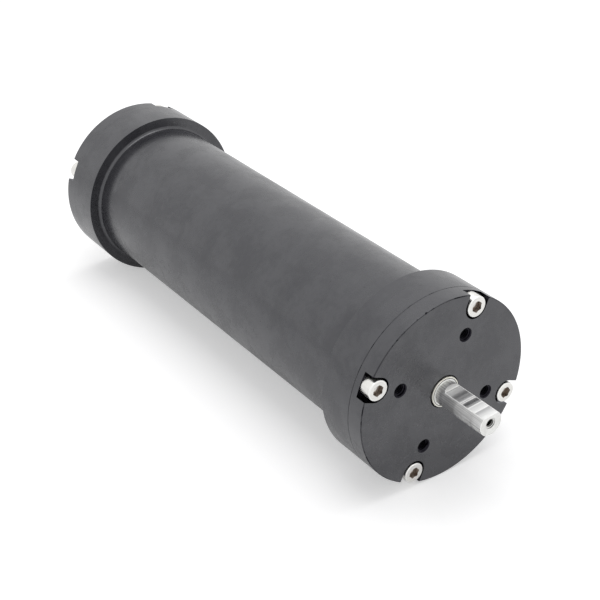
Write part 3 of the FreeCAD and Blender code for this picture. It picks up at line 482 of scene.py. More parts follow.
class Nodes:
    """Short ways to add nodes to a tree. A value is a socket or a number."""

    def __init__(self, tree: Tree) -> None:
        """Keeps the tree."""
        self.tree = tree

    def feed(self, socket: Socket, value: object) -> None:
        """Links a socket to another one, or sets it.

        Args:
            socket: an input.
            value: what it gets.
        """
        if isinstance(value, bpy.types.NodeSocket):
            self.tree.links.new(value, socket)
        else:
            socket.default_value = value

    def new(self, kind: str, **inputs: object) -> Node:
        """Adds a node and feeds its named inputs.

        Args:
            kind: its type, without the part that all types share.
            inputs: values by input.

        Returns:
            The node.
        """
        node = self.tree.nodes.new(f"ShaderNode{kind}")
        for label, value in inputs.items():
            self.feed(node.inputs[label], value)
        return node

    def operate(self, kind: str, operation: str, *values: object) -> Node:
        """Adds a Math or Vector Math node.

        Args:
            kind: Math or VectorMath.
            operation: what it does.
            values: its inputs in order.

        Returns:
            The node.
        """
        node = self.new(kind)
        node.operation = operation
        for socket, value in zip(node.inputs, values):
            self.feed(socket, value)
        return node

    def add(self, first: Value, second: Value, clamp: bool = False) -> Socket:
        """Sum of two values.

        Args:
            first: one value.
            second: the other.
            clamp: keep the sum from 0 to 1.

        Returns:
            The sum.
        """
        node = self.operate("Math", "ADD", first, second)
        node.use_clamp = clamp
        return node.outputs[0]

    def minus(self, first: Value, second: Value) -> Socket:
        """Difference of two values."""
        return self.operate("Math", "SUBTRACT", first, second).outputs[0]

    def times(self, *values: Value) -> Socket:
        """Product of values; for masks, where all of them hold.

        Args:
            values: two or more values.

        Returns:
            The product.
        """
        product = values[0]
        for value in values[1:]:
            product = self.operate("Math", "MULTIPLY", product, value).outputs[0]
        return product

    def divided(self, first: Value, second: Value) -> Socket:
        """First value divided by the second."""
        return self.operate("Math", "DIVIDE", first, second).outputs[0]

    def larger(self, first: Value, second: Value) -> Socket:
        """Larger of two values."""
        return self.operate("Math", "MAXIMUM", first, second).outputs[0]

    def above(self, value: Value, limit: Value) -> Socket:
        """Mask of where a value is above a limit."""
        return self.operate("Math", "GREATER_THAN", value, limit).outputs[0]

    def below(self, value: Value, limit: Value) -> Socket:
        """Mask of where a value is below a limit."""
        return self.operate("Math", "LESS_THAN", value, limit).outputs[0]

    def apart(self, first: Value, second: Value) -> Socket:
        """How far two values are apart."""
        return self.operate("Math", "ABSOLUTE", self.minus(first, second)).outputs[0]

    def scaled(self, place: Socket, factor: Corner) -> Socket:
        """Scales a vector."""
        return self.operate("VectorMath", "MULTIPLY", place, factor).outputs[0]

    def attribute(self, name: str) -> Socket:
        """Number that is stored on the mesh.

        Args:
            name: name of the attribute.

        Returns:
            The number.
        """
        node = self.new("Attribute")
        node.attribute_name = name
        return node.outputs["Fac"]

    def noise(self, place: Socket, scale: Value, detail: float, distortion: float = 0.0) -> Socket:
        """Three-dimensional noise."""
        node = self.new("TexNoise", Vector=place, Scale=scale, Detail=detail, Distortion=distortion)
        return node.outputs[0]

    def ramp(self, value: Socket, low: Value, high: Value, to_low: float = 0.0, to_high: float = 1.0,
             smooth: bool = True) -> Socket:
        """Maps a value from one range to another.

        Args:
            value: what is mapped.
            low: start of the first range.
            high: its end.
            to_low: start of the second range.
            to_high: its end.
            smooth: a smooth step, or else a straight line.

        Returns:
            The mapped value.
        """
        node = self.new("MapRange", Value=value)
        if smooth:
            node.interpolation_type = "SMOOTHSTEP"
        for label, limit in (("From Min", low), ("From Max", high), ("To Min", to_low), ("To Max", to_high)):
            self.feed(node.inputs[label], limit)
        return node.outputs["Result"]

    def mix(self, mask: Socket, base: object, over: object, kind: str = "RGBA") -> Socket:
        """Mixes two colours or two values by a mask.

        Args:
            mask: 0 for the base, 1 for what lies over it.
            base: a socket, or three numbers for a colour.
            over: the same.
            kind: RGBA for colours, VALUE for values.

        Returns:
            The mixed colour or value.
        """
        node = self.new("Mix")
        node.data_type = "RGBA" if kind == "RGBA" else "FLOAT"
        self.feed(node.inputs["Factor"], mask)
        for label, value in (("A", base), ("B", over)):
            socket = next(item for item in node.inputs if item.name == label and item.type == kind)
            self.feed(socket, (*value, 1.0) if isinstance(value, tuple) else value)
        return next(item for item in node.outputs if item.type == kind)


def mottle(nodes: Nodes, given: Sockets) -> Sockets:
    """Soft cloudy patches, such as an anodised skin has.

    Args:
        nodes: nodes of the group.
        given: its inputs by name.

    Returns:
        Its outputs by name.
    """
    finer = 6.0
    broad_share = 0.7
    fine_share = 0.3
    scale = nodes.divided(1.0, given["Size"])
    broad = nodes.noise(given["Place"], scale, detail=3.0, distortion=0.4)
    fine = nodes.noise(given["Place"], nodes.times(scale, finer), detail=2.0)
    both = nodes.add(nodes.times(broad, broad_share), nodes.times(fine, fine_share))
    return {"Mask": nodes.ramp(both, low=0.34, high=0.66)}


def turning_marks(nodes: Nodes, given: Sockets) -> Sockets:
    """Fine rings that a cutting tool leaves on turned walls and faces.

    Args:
        nodes: nodes of the group.
        given: its inputs by name.

    Returns:
        Its outputs by name.
    """
    along = nodes.new("SeparateXYZ", Vector=given["Place"]).outputs["X"]
    place = nodes.new("CombineXYZ", X=nodes.divided(along, given["Pitch"]),
                      Y=nodes.divided(given["Radius"], given["Pitch"])).outputs[0]
    wider = 0.13
    broad = nodes.noise(nodes.scaled(place, (wider, wider, 0.0)), 1.0, detail=2.0)
    return {"Height": nodes.noise(place, 1.0, detail=1.0), "Mask": nodes.ramp(broad, low=0.35, high=0.65)}


def grain(nodes: Nodes, given: Sockets) -> Sockets:
    """Fine even grain of a blasted or anodised skin."""
    value = nodes.noise(given["Place"], nodes.divided(1.0, given["Size"]), detail=2.0)
    return {"Height": value, "Mask": nodes.ramp(value, low=0.3, high=0.7)}


def specks(nodes: Nodes, given: Sockets) -> Sockets:
    """Sparse dots, such as dust or tiny pits.

    Args:
        nodes: nodes of the group.
        given: its inputs by name.

    Returns:
        Its outputs by name.
    """
    core = 0.6
    empty_cells = 0.55
    cells = nodes.new("TexVoronoi", Vector=given["Place"], Scale=nodes.divided(1.0, given["Spacing"])).outputs
    inner = nodes.times(given["Size"], core)
    near = nodes.ramp(cells["Distance"], inner, given["Size"], to_low=1.0, to_high=0.0)
    chance = nodes.new("SeparateColor", Color=cells["Color"]).outputs[0]
    return {"Mask": nodes.times(near, nodes.above(chance, empty_cells))}


def edge_wear(nodes: Nodes, given: Sockets) -> Sockets:
    """Mask along broken edges, stronger in places: rubbed bare metal, and painted shade on black skins.

    Args:
        nodes: nodes of the group.
        given: its inputs by name.

    Returns:
        Its outputs by name.
    """
    patches = nodes.ramp(nodes.noise(given["Place"], scale=0.25, detail=4.0), low=0.45, high=0.62)
    amount = nodes.larger(patches, given["Evenness"])
    return {"Mask": nodes.times(amount, nodes.attribute("broken_edge"))}


def recess_shade(nodes: Nodes, given: Sockets) -> Sockets:
    """Darkness of holes and slots, where little light reaches."""
    uneven = nodes.ramp(nodes.noise(given["Place"], scale=0.8, detail=2.0), low=0.2, high=0.8, to_low=0.85)
    return {"Mask": nodes.times(uneven, given["Strength"], nodes.attribute("recess"))}


@dataclass(frozen=True)
class Effect:
    """A node group that several materials share.

    Attributes:
        paint: adds its nodes; the function's name is the group's name.
        inputs: its numbers, with their defaults. It takes a place as well.
        outputs: the values that it puts out.
    """

    paint: Callable[[Nodes, Sockets], Sockets]
    inputs: Dict[str, float]
    outputs: Tuple[str, ...] = ("Mask",)

    def build(self) -> Tree:
        """Builds the node group.

        Returns:
            The group.
        """
        tree = bpy.data.node_groups.new(self.paint.__name__, "ShaderNodeTree")
        tree.interface.new_socket(name="Place", in_out="INPUT", socket_type="NodeSocketVector")
        for label, default in self.inputs.items():
            made = tree.interface.new_socket(name=label, in_out="INPUT", socket_type="NodeSocketFloat")
            made.default_value = default
        for label in self.outputs:
            tree.interface.new_socket(name=label, in_out="OUTPUT", socket_type="NodeSocketFloat")
        given = {socket.name: socket for socket in tree.nodes.new("NodeGroupInput").outputs}
        taken = tree.nodes.new("NodeGroupOutput").inputs
        for label, socket in self.paint(Nodes(tree), given).items():
            tree.links.new(socket, taken[label])
        return tree


EFFECTS: Tuple[Effect, ...] = (
    Effect(mottle, {"Size": 20.0}),
    Effect(turning_marks, {"Radius": 0.0, "Pitch": 0.4}, ("Height", "Mask")),
    Effect(grain, {"Size": 0.3}, ("Height", "Mask")),
    Effect(specks, {"Spacing": 5.0, "Size": 0.05}),
    Effect(edge_wear, {"Evenness": 0.5}),
    Effect(recess_shade, {"Strength": 1.0}),
)


class Canvas(Nodes):
    """Nodes of one material, with the shared effects and the coordinates in millimetres."""

    def __init__(self, tree: Tree, groups: Dict[str, Tree]) -> None:
        """Keeps the groups and the shader's inputs, and adds the coordinates.

        Args:
            tree: the material's node tree.
            groups: the effects by name.
        """
        super().__init__(tree)
        self.groups = groups
        self.shader = tree.nodes["Principled BSDF"].inputs
        self.place = self.scaled(self.new("TexCoord").outputs["Object"], (PER_METRE, PER_METRE, PER_METRE))

    def effect(self, name: str, **values: Value) -> Node:
        """Puts a shared effect into the material, with its own values.

        Args:
            name: which effect.
            values: numbers or sockets for its other inputs.

        Returns:
            The group node.
        """
        node = self.new("Group")
        node.node_tree = self.groups[name]
        for label, value in {"Place": self.place, **values}.items():
            self.feed(node.inputs[label], value)
        return node


# Finishes


@dataclass(frozen=True)
class Finish:
    """A surface finish. Sizes are in millimetres, colours are linear.

    Attributes:
        slot: material slot of the record that it dresses.
        colour: main colour.
        patch_colour: colour that the mottle drifts towards.
        roughness: mean roughness.
        metallic: 1 for bare metal.
        mottle_size: width of the soft patches.
        marks_pitch: spacing of the turning marks.
        marks_depth: height of the turning marks.
        marks_tint: how far the marks shift roughness.
        grain_size: width of the fine grain.
        grain_depth: height of the fine grain.
        edge_colour: colour of the broken edges: rubbed bright on bare metal, a darker painted shade on the
            black anodised skin.
        edge_evenness: 0 for a patchy edge mark, 1 for an even line.
        speck_colour: colour of the specks.
        speck_spacing: distance between specks.
        speck_size: share of that distance that a speck fills.
        specular: strength of the dielectric highlight.
        specular_tint: colour of that highlight.
        recess_colour: colour of the painted shade in holes and slots.
        edge_roughness: roughness of broken edges, or none to keep the rest's.
        dark_edges: broken edges become metal of a near-black colour that reflects almost nothing, painted
            shade along rims, seams and slot edges.
        spread: how far the patches change the roughness, as two shares of its mean.
    """

    slot: str
    colour: Colour
    patch_colour: Colour
    roughness: float
    metallic: float = 0.0
    mottle_size: float = 18.0
    marks_pitch: float = 0.35
    marks_depth: float = 0.0
    marks_tint: float = 0.05
    grain_size: float = 0.25
    grain_depth: float = 0.0
    edge_colour: Optional[Colour] = None
    edge_evenness: float = 0.4
    speck_colour: Optional[Colour] = None
    speck_spacing: float = 9.0
    speck_size: float = 0.02
    specular: float = 0.5
    specular_tint: Colour = (1.0, 1.0, 1.0)
    recess_colour: Optional[Colour] = None
    edge_roughness: Optional[float] = None
    dark_edges: bool = False
    spread: Tuple[float, float] = (0.88, 1.16)

    def surface(self, canvas: Canvas) -> Tuple[Socket, Socket]:
        """Builds the colour and the roughness.

        Args:
            canvas: the material's nodes.

        Returns:
            The colour socket and the roughness socket.
        """
        patches = canvas.effect("mottle", Size=self.mottle_size).outputs["Mask"]
        colour = canvas.mix(patches, self.colour, self.patch_colour)
        smooth, rough = (self.roughness * share for share in self.spread)
        roughness = canvas.ramp(patches, 0.0, 1.0, smooth, rough)
        if self.edge_colour is not None:
            wear = self.wear(canvas)
            colour = canvas.mix(wear, colour, self.edge_colour)
            if self.edge_roughness is not None:
                gain = self.edge_roughness - self.roughness
                roughness = canvas.add(roughness, canvas.times(wear, gain))
        if self.speck_colour is not None:
            dots = canvas.effect("specks", Spacing=self.speck_spacing, Size=self.speck_size)
            colour = canvas.mix(dots.outputs["Mask"], colour, self.speck_colour)
        return colour, roughness

    def build(self, groups: Dict[str, Tree], own_axis: bool) -> bpy.types.Material:
        """Makes the material.

        Args:
            groups: the shared effects.
            own_axis: read each piece's stored distance from its own turning axis.

        Returns:
            A procedural material.
        """
        suffix = "" if own_axis else "_inside"
        material = bpy.data.materials.new(f"{self.slot}{suffix}")
        material.use_nodes = True
        canvas = Canvas(material.node_tree, groups)
        canvas.feed(canvas.shader["Metallic"], self.metallic)
        canvas.feed(canvas.shader["Specular IOR Level"], self.specular)
        canvas.feed(canvas.shader["Specular Tint"], (*self.specular_tint, 1.0))
        colour, roughness = self.surface(canvas)
        if self.recess_colour is not None and own_axis:
            colour = self.shade_recess(canvas, colour)
        marks = canvas.effect("turning_marks", Pitch=self.marks_pitch, Radius=self.radius(canvas, own_axis))
        shift = canvas.times(canvas.minus(marks.outputs["Mask"], MASK_MIDDLE), self.marks_tint)
        canvas.feed(canvas.shader["Roughness"], canvas.add(roughness, shift, clamp=True))
        canvas.feed(canvas.shader["Base Color"], colour)
        canvas.feed(canvas.shader["Normal"], self.relief(canvas, marks))
        return material

    def wear(self, canvas: Canvas) -> Socket:
        """Mask of the broken edges: rubbed on bare metal, painted shade on black skins."""
        return canvas.effect("edge_wear", Evenness=self.edge_evenness).outputs["Mask"]

    def shade_recess(self, canvas: Canvas, colour: Socket) -> Socket:
        """Paints shade into holes and slots: a darker colour, and on black skins metal of a near-black colour
        that reflects almost nothing.

        Args:
            canvas: the material's nodes.
            colour: colour of the open surface.

        Returns:
            The colour socket.
        """
        recess = canvas.effect("recess_shade", Strength=1.0).outputs["Mask"]
        # With dark_edges the broken edges also turn into near-black metal: painted shade.
        swallow = canvas.larger(recess, self.wear(canvas)) if self.dark_edges else recess
        if self.metallic < BARE_METAL:
            canvas.feed(canvas.shader["Metallic"], swallow)
        return canvas.mix(recess, colour, self.recess_colour)

    def radius(self, canvas: Canvas, own_axis: bool) -> Socket:
        """Distance from the turning axis, stored on the piece or worked out from the motor's axis.

        Args:
            canvas: the material's nodes.
            own_axis: read the stored distance.

        Returns:
            The distance in millimetres.
        """
        if own_axis:
            return canvas.attribute("turn_radius")
        across = canvas.scaled(canvas.place, (0.0, 1.0, 1.0))
        return canvas.operate("VectorMath", "LENGTH", across).outputs["Value"]

    def relief(self, canvas: Canvas, marks: Node) -> Socket:
        """Bump normal from the turning marks and the grain, with heights in metres.

        Args:
            canvas: the material's nodes.
            marks: the turning marks.

        Returns:
            The normal.
        """
        skin = canvas.effect("grain", Size=self.grain_size)
        height = canvas.add(canvas.times(marks.outputs["Height"], self.marks_depth * MM),
                            canvas.times(skin.outputs["Height"], self.grain_depth * MM))
        return canvas.new("Bump", Distance=1.0, Height=height).outputs["Normal"]


@dataclass(frozen=True)
class ShaftFlat:
    """The flat on the output shaft.

    Attributes:
        angle: direction that it faces, from +Y towards +Z, in degrees.
        height: its distance from the shaft's axis.
        start: where it begins along the shaft.
        end: where it ends, at the shaft's end.
        shaft_r: radius of the round shaft.
    """

    angle: float = 95.0
    height: float = 4.25
    start: float = 6.0
    end: float = 30.0
    shaft_r: float = 6.0


@dataclass(frozen=True)
class MilledFlatFinish(Finish):
    """Bright turned steel whose flat shows cross bands: the cutter's marks in its roughness, and painted
    reflections in its colour.

    Attributes:
        flat: where the flat lies.
        flat_reach: how far off the flat's plane its faces may be.
        flat_lead: how far before its start the bands begin.
        flat_roughness: roughness of the darkest and of the brightest band.
        bands: brightness of the bands, as (share of the flat's length, level).
        band_colour: colour of the darkest band, a painted reflection.
        bright_colour: colour of the brightest band, a painted reflection.
        band_stretch: density of their fine lines along and across the shaft.
        wobble: how far the bands waver, as a share of the flat's length.
        streak_gain: how much more the brightness wavers.
        runout_start: where the cutter's rounded run-out begins.
        runout_depth: how far inside the round shaft it lies at least.
        runout_colour: its darker colour, painted shade in the hollow of the run-out.
        rim_band: width of the painted highlight along the flat's edges.
        rim_lead: how far after the run-out's start it begins.
        rim_height: how far outside the round shaft it may reach.
        rim_colour: its colour, a painted highlight.
        rim_share: how much less metallic it is.
        ring_colour: colour of the journal's duller outer ring.
        ring_r: radius where that ring begins.
        line_colour: colour of the dark lengthwise lines on the shaft's side, a painted reflection.
        line_stretch: density of these lines along and across the shaft.
        side_colour: colour between them, a painted reflection.
        side_reach: how far off the shaft's radius its side may be.
        neck_start: where the round part of the shaft begins.
    """

    flat: ShaftFlat = ShaftFlat()
    flat_reach: float = 0.03
    flat_lead: float = 1.0
    flat_roughness: Tuple[float, float] = (0.3, 0.62)
    bands: Tuple[Tuple[float, float], ...] = (
        (0.0, 0.8), (0.11, 0.7), (0.15, 0.36), (0.35, 0.46), (0.37, 1.0), (0.4, 0.5), (0.415, 1.0),
        (0.44, 0.2), (0.56, 0.32), (0.58, 1.0), (0.61, 0.68), (0.73, 0.82), (0.745, 1.0), (0.78, 0.36),
        (0.86, 0.6), (1.0, 0.9))
    band_colour: Colour = (0.30, 0.30, 0.31)
    bright_colour: Colour = (0.96, 0.96, 0.95)
    band_stretch: Corner = (3.0, 0.03, 0.03)
    wobble: float = 0.035
    streak_gain: float = 6.0
    runout_start: float = 4.3
    runout_depth: float = 0.06
    runout_colour: Colour = (0.5, 0.5, 0.49)
    rim_band: float = 0.22
    rim_lead: float = 1.0
    rim_height: float = 0.1
    rim_colour: Colour = (0.95, 0.95, 0.94)
    rim_share: float = 0.8
    ring_colour: Colour = (0.80, 0.79, 0.73)
    ring_r: float = 6.85
    line_colour: Colour = (0.66, 0.66, 0.65)
    line_stretch: Corner = (0.03, 1.3, 1.3)
    side_colour: Colour = (1.0, 1.0, 0.99)
    side_reach: float = 0.04
    neck_start: float = 1.0

    def surface(self, canvas: Canvas) -> Tuple[Socket, Socket]:
        """Adds the flat's bands, the run-out's painted shade, the painted highlight along the flat's edges
        and the painted reflection streaks on the side to the turned finish.

        Args:
            canvas: the material's nodes.

        Returns:
            The colour socket and the roughness socket.
        """
        colour, roughness = super().surface(canvas)
        shaft_r = self.flat.shaft_r
        radius = self.radius(canvas, False)
        along = canvas.new("SeparateXYZ", Vector=canvas.place).outputs["X"]
        across = canvas.operate("VectorMath", "DOT_PRODUCT", canvas.place, facing(self.flat.angle))
        off_plane = canvas.apart(across.outputs["Value"], self.flat.height)
        on_flat = canvas.times(canvas.below(off_plane, self.flat_reach),
                               canvas.above(along, self.flat.start - self.flat_lead))
        # Painted reflection bands on the flat, with the cutter's marks in the roughness.
        level = self.band_level(canvas, along)
        colour = canvas.mix(on_flat, colour, canvas.mix(level, self.band_colour, self.bright_colour))
        flat_roughness = canvas.ramp(level, 0.0, 1.0, *self.flat_roughness)
        roughness = canvas.mix(on_flat, roughness, flat_roughness, "VALUE")
        # Painted shade in the cutter's rounded run-out.
        in_runout = canvas.times(canvas.below(radius, shaft_r - self.runout_depth),
                                 canvas.above(along, self.runout_start), canvas.below(along, self.flat.start))
        colour = canvas.mix(in_runout, colour, self.runout_colour)
        # Painted reflection: light and dark lengthwise streaks on the round side of the shaft.
        lines = canvas.noise(canvas.scaled(canvas.place, self.line_stretch), 1.0, detail=3.0)
        side = canvas.mix(canvas.ramp(lines, low=0.36, high=0.64), self.line_colour, self.side_colour)
        on_side = canvas.times(canvas.below(canvas.apart(radius, shaft_r), self.side_reach),
                               canvas.above(along, self.neck_start))
        colour = canvas.mix(on_side, colour, side)
        # Painted highlight along the flat's edges, white and less metallic.
        edge_highlight = canvas.times(canvas.below(off_plane, self.rim_band),
                            canvas.above(radius, shaft_r - self.rim_band),
                            canvas.above(along, self.runout_start + self.rim_lead),
                            canvas.below(radius, shaft_r + self.rim_height))
        canvas.feed(canvas.shader["Metallic"], canvas.minus(1.0, canvas.times(edge_highlight, self.rim_share)))
        colour = canvas.mix(edge_highlight, colour, self.rim_colour)
        return canvas.mix(canvas.above(radius, self.ring_r), colour, self.ring_colour), roughness

    def band_level(self, canvas: Canvas, along: Socket) -> Socket:
        """Brightness of the painted reflection bands, wavering a little.

        Args:
            canvas: the material's nodes.
            along: place along the shaft.

        Returns:
            The brightness, from 0 to 1.
        """
        fine = canvas.noise(canvas.scaled(canvas.place, self.band_stretch), 1.0, detail=2.0)
        waver = canvas.times(canvas.minus(fine, MASK_MIDDLE), self.wobble)
        part = canvas.ramp(along, self.flat.start, self.flat.end, smooth=False)
        table = canvas.new("ValToRGB", Fac=canvas.add(part, waver))
        stops = table.color_ramp.elements
        for index, (spot, value) in enumerate(self.bands):
            stop = stops[index] if index < 2 else stops.new(spot)
            stop.position = spot
            stop.color = (value, value, value, 1.0)
        return canvas.add(table.outputs["Color"], canvas.times(waver, self.streak_gain), clamp=True)


FINISHES: Tuple[Finish, ...] = (
    # Black anodised skin: the darker edge_colour with dark_edges paints shade along broken edges, and
    # recess_colour paints shade in holes and slots.
    Finish("anodised_black", (0.040, 0.040, 0.045), (0.013, 0.013, 0.017), 0.25, mottle_size=17.0,
           marks_depth=0.0002, marks_tint=0.03, grain_size=0.35, grain_depth=0.0008,
           edge_colour=(0.012, 0.012, 0.015), edge_evenness=0.5,
           speck_colour=(0.003, 0.003, 0.004), speck_spacing=8.0, speck_size=0.06, specular=1.0,
           specular_tint=(0.96, 0.965, 1.0), recess_colour=(0.012, 0.011, 0.016), dark_edges=True),
    Finish("stainless_screw", (0.86, 0.85, 0.82), (0.80, 0.79, 0.76), 0.32, 1.0, 4.0, 0.18, 0.0002, 0.08,
           0.12, 0.0, (0.95, 0.95, 0.93), 0.8, recess_colour=(0.28, 0.225, 0.19)),
    MilledFlatFinish("stainless_shaft", (0.86, 0.86, 0.84), (0.76, 0.76, 0.74), 0.4, 1.0, 7.0, 0.22, 0.0002,
                     0.16, 0.15, 0.0, (1.0, 1.0, 0.99), 1.0, recess_colour=(0.02, 0.02, 0.02),
                     edge_roughness=0.8),
    Finish("black_rubber", (0.014, 0.014, 0.014), (0.022, 0.022, 0.022), 0.62, mottle_size=5.0,
           grain_size=0.2, grain_depth=0.004),
    Finish("gland_metal", (0.62, 0.60, 0.56), (0.52, 0.50, 0.46), 0.3, 1.0, 8.0, 0.25, 0.0008, 0.08,
           0.2, 0.0006, (0.78, 0.77, 0.74), 0.5),
    Finish("plain_aluminium", (0.78, 0.79, 0.80), (0.68, 0.69, 0.70), 0.34, 1.0, 12.0, 0.3, 0.001, 0.08,
           0.2, 0.0006),
    Finish("black_steel_screw", (0.035, 0.034, 0.033), (0.055, 0.052, 0.05), 0.45, 0.6, 3.0, 0.2, 0.0006),
    Finish("bearing_steel", (0.72, 0.72, 0.73), (0.64, 0.64, 0.65), 0.14, 1.0, 6.0, 0.12, 0.0003),
    Finish("gear_steel", (0.46, 0.45, 0.44), (0.36, 0.35, 0.34), 0.36, 1.0, 5.0, 0.25, 0.0008, 0.1),
    Finish("bronze", (0.56, 0.36, 0.17), (0.45, 0.27, 0.12), 0.34, 1.0, 5.0, 0.25, 0.0008),
    Finish("zinc_plated_steel", (0.66, 0.68, 0.70), (0.58, 0.60, 0.60), 0.32, 1.0, 9.0, 0.4, 0.0006),
    Finish("ferrite_magnet", (0.035, 0.034, 0.036), (0.05, 0.049, 0.05), 0.7, mottle_size=4.0,
           grain_size=0.3, grain_depth=0.006),
    Finish("lamination_steel", (0.38, 0.38, 0.39), (0.3, 0.3, 0.31), 0.42, 1.0, 6.0, 0.5, 0.004, 0.12),
    Finish("copper", (0.80, 0.38, 0.22), (0.66, 0.28, 0.15), 0.3, 1.0, 3.0, 0.5, 0.01),
    Finish("insulation", (0.42, 0.26, 0.10), (0.34, 0.20, 0.07), 0.5, mottle_size=6.0,
           grain_size=0.4, grain_depth=0.004),
    Finish("carbon", (0.02, 0.02, 0.02), (0.035, 0.035, 0.036), 0.6, mottle_size=2.0,
           grain_size=0.15, grain_depth=0.003),
)


class FinishLibrary:
    """Materials by slot, built from the finishes when they are first asked for."""

    def __init__(self, finishes: Sequence[Finish]) -> None:
        """Keeps the finishes by slot and builds the shared effects.

        Args:
            finishes: one for each slot.
        """
        self.finishes = {finish.slot: finish for finish in finishes}
        self.groups = {effect.paint.__name__: effect.build() for effect in EFFECTS}
        self.made: Dict[Tuple[str, bool], bpy.types.Material] = {}

    def material(self, slot: str, own_axis: bool) -> bpy.types.Material:
        """Material of a slot, for a new piece or for a carried-over node.

        Args:
            slot: material slot of the record.
            own_axis: true for a new piece.

        Returns:
            The material.
        """
        key = (slot, own_axis)
        if key not in self.made:
            self.made[key] = self.finishes[slot].build(self.groups, own_axis)
        return self.made[key]


def settle(bm: Mesh, name: str, slot: str, body: Body, nodes: Sequence[str], library: FinishLibrary) -> None:
    """Turns a finished mesh into a piece of the scene.

    Args:
        bm: mesh in millimetres; it is used up.
        name: name of the piece.
        slot: material slot of the record.
        body: what it rides on.
        nodes: CAD nodes that it stands for.
        library: where the material comes from.
    """
    bmesh.ops.recalc_face_normals(bm, faces=bm.faces[:])
    bmesh.ops.scale(bm, vec=(MM, MM, MM), verts=bm.verts[:])
    rough = held(bm, f"{name}_rough")
    rough.data.shade_smooth()
    rough.data.set_sharp_from_angle(angle=CREASE_ANGLE)
    even = rough.modifiers.new("even", "WEIGHTED_NORMAL")
    even.keep_sharp = True
    mesh = evaluated(rough)
    discard(rough)
    mesh.name = name
    mesh.materials.clear()
    mesh.materials.append(library.material(slot, True))
    piece = bpy.data.objects.new(name, mesh)
    bpy.context.scene.collection.objects.link(piece)
    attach(piece, body.value)
    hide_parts(*nodes)
    report_fit(piece, nodes)


def report_fit(piece: bpy.types.Object, nodes: Sequence[str]) -> None:
    """Logs how far the box of a piece differs from the box of the nodes that it stands for.

    Args:
        piece: the piece.
        nodes: names of the CAD nodes.
    """
    corners = [vert.co for vert in piece.data.vertices]
    boxes = [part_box(node) for node in nodes]
    off = 0.0
    for axis in range(3):
        low = min(corner[axis] for corner in corners) - min(box[0][axis] for box in boxes)
        high = max(corner[axis] for corner in corners) - max(box[1][axis] for box in boxes)
        off = max(off, abs(low), abs(high))
    log.info("%s: %d faces, box within %.2f mm of %s", piece.name, len(piece.data.polygons), off / MM,
             ", ".join(nodes))


# Sub-assemblies


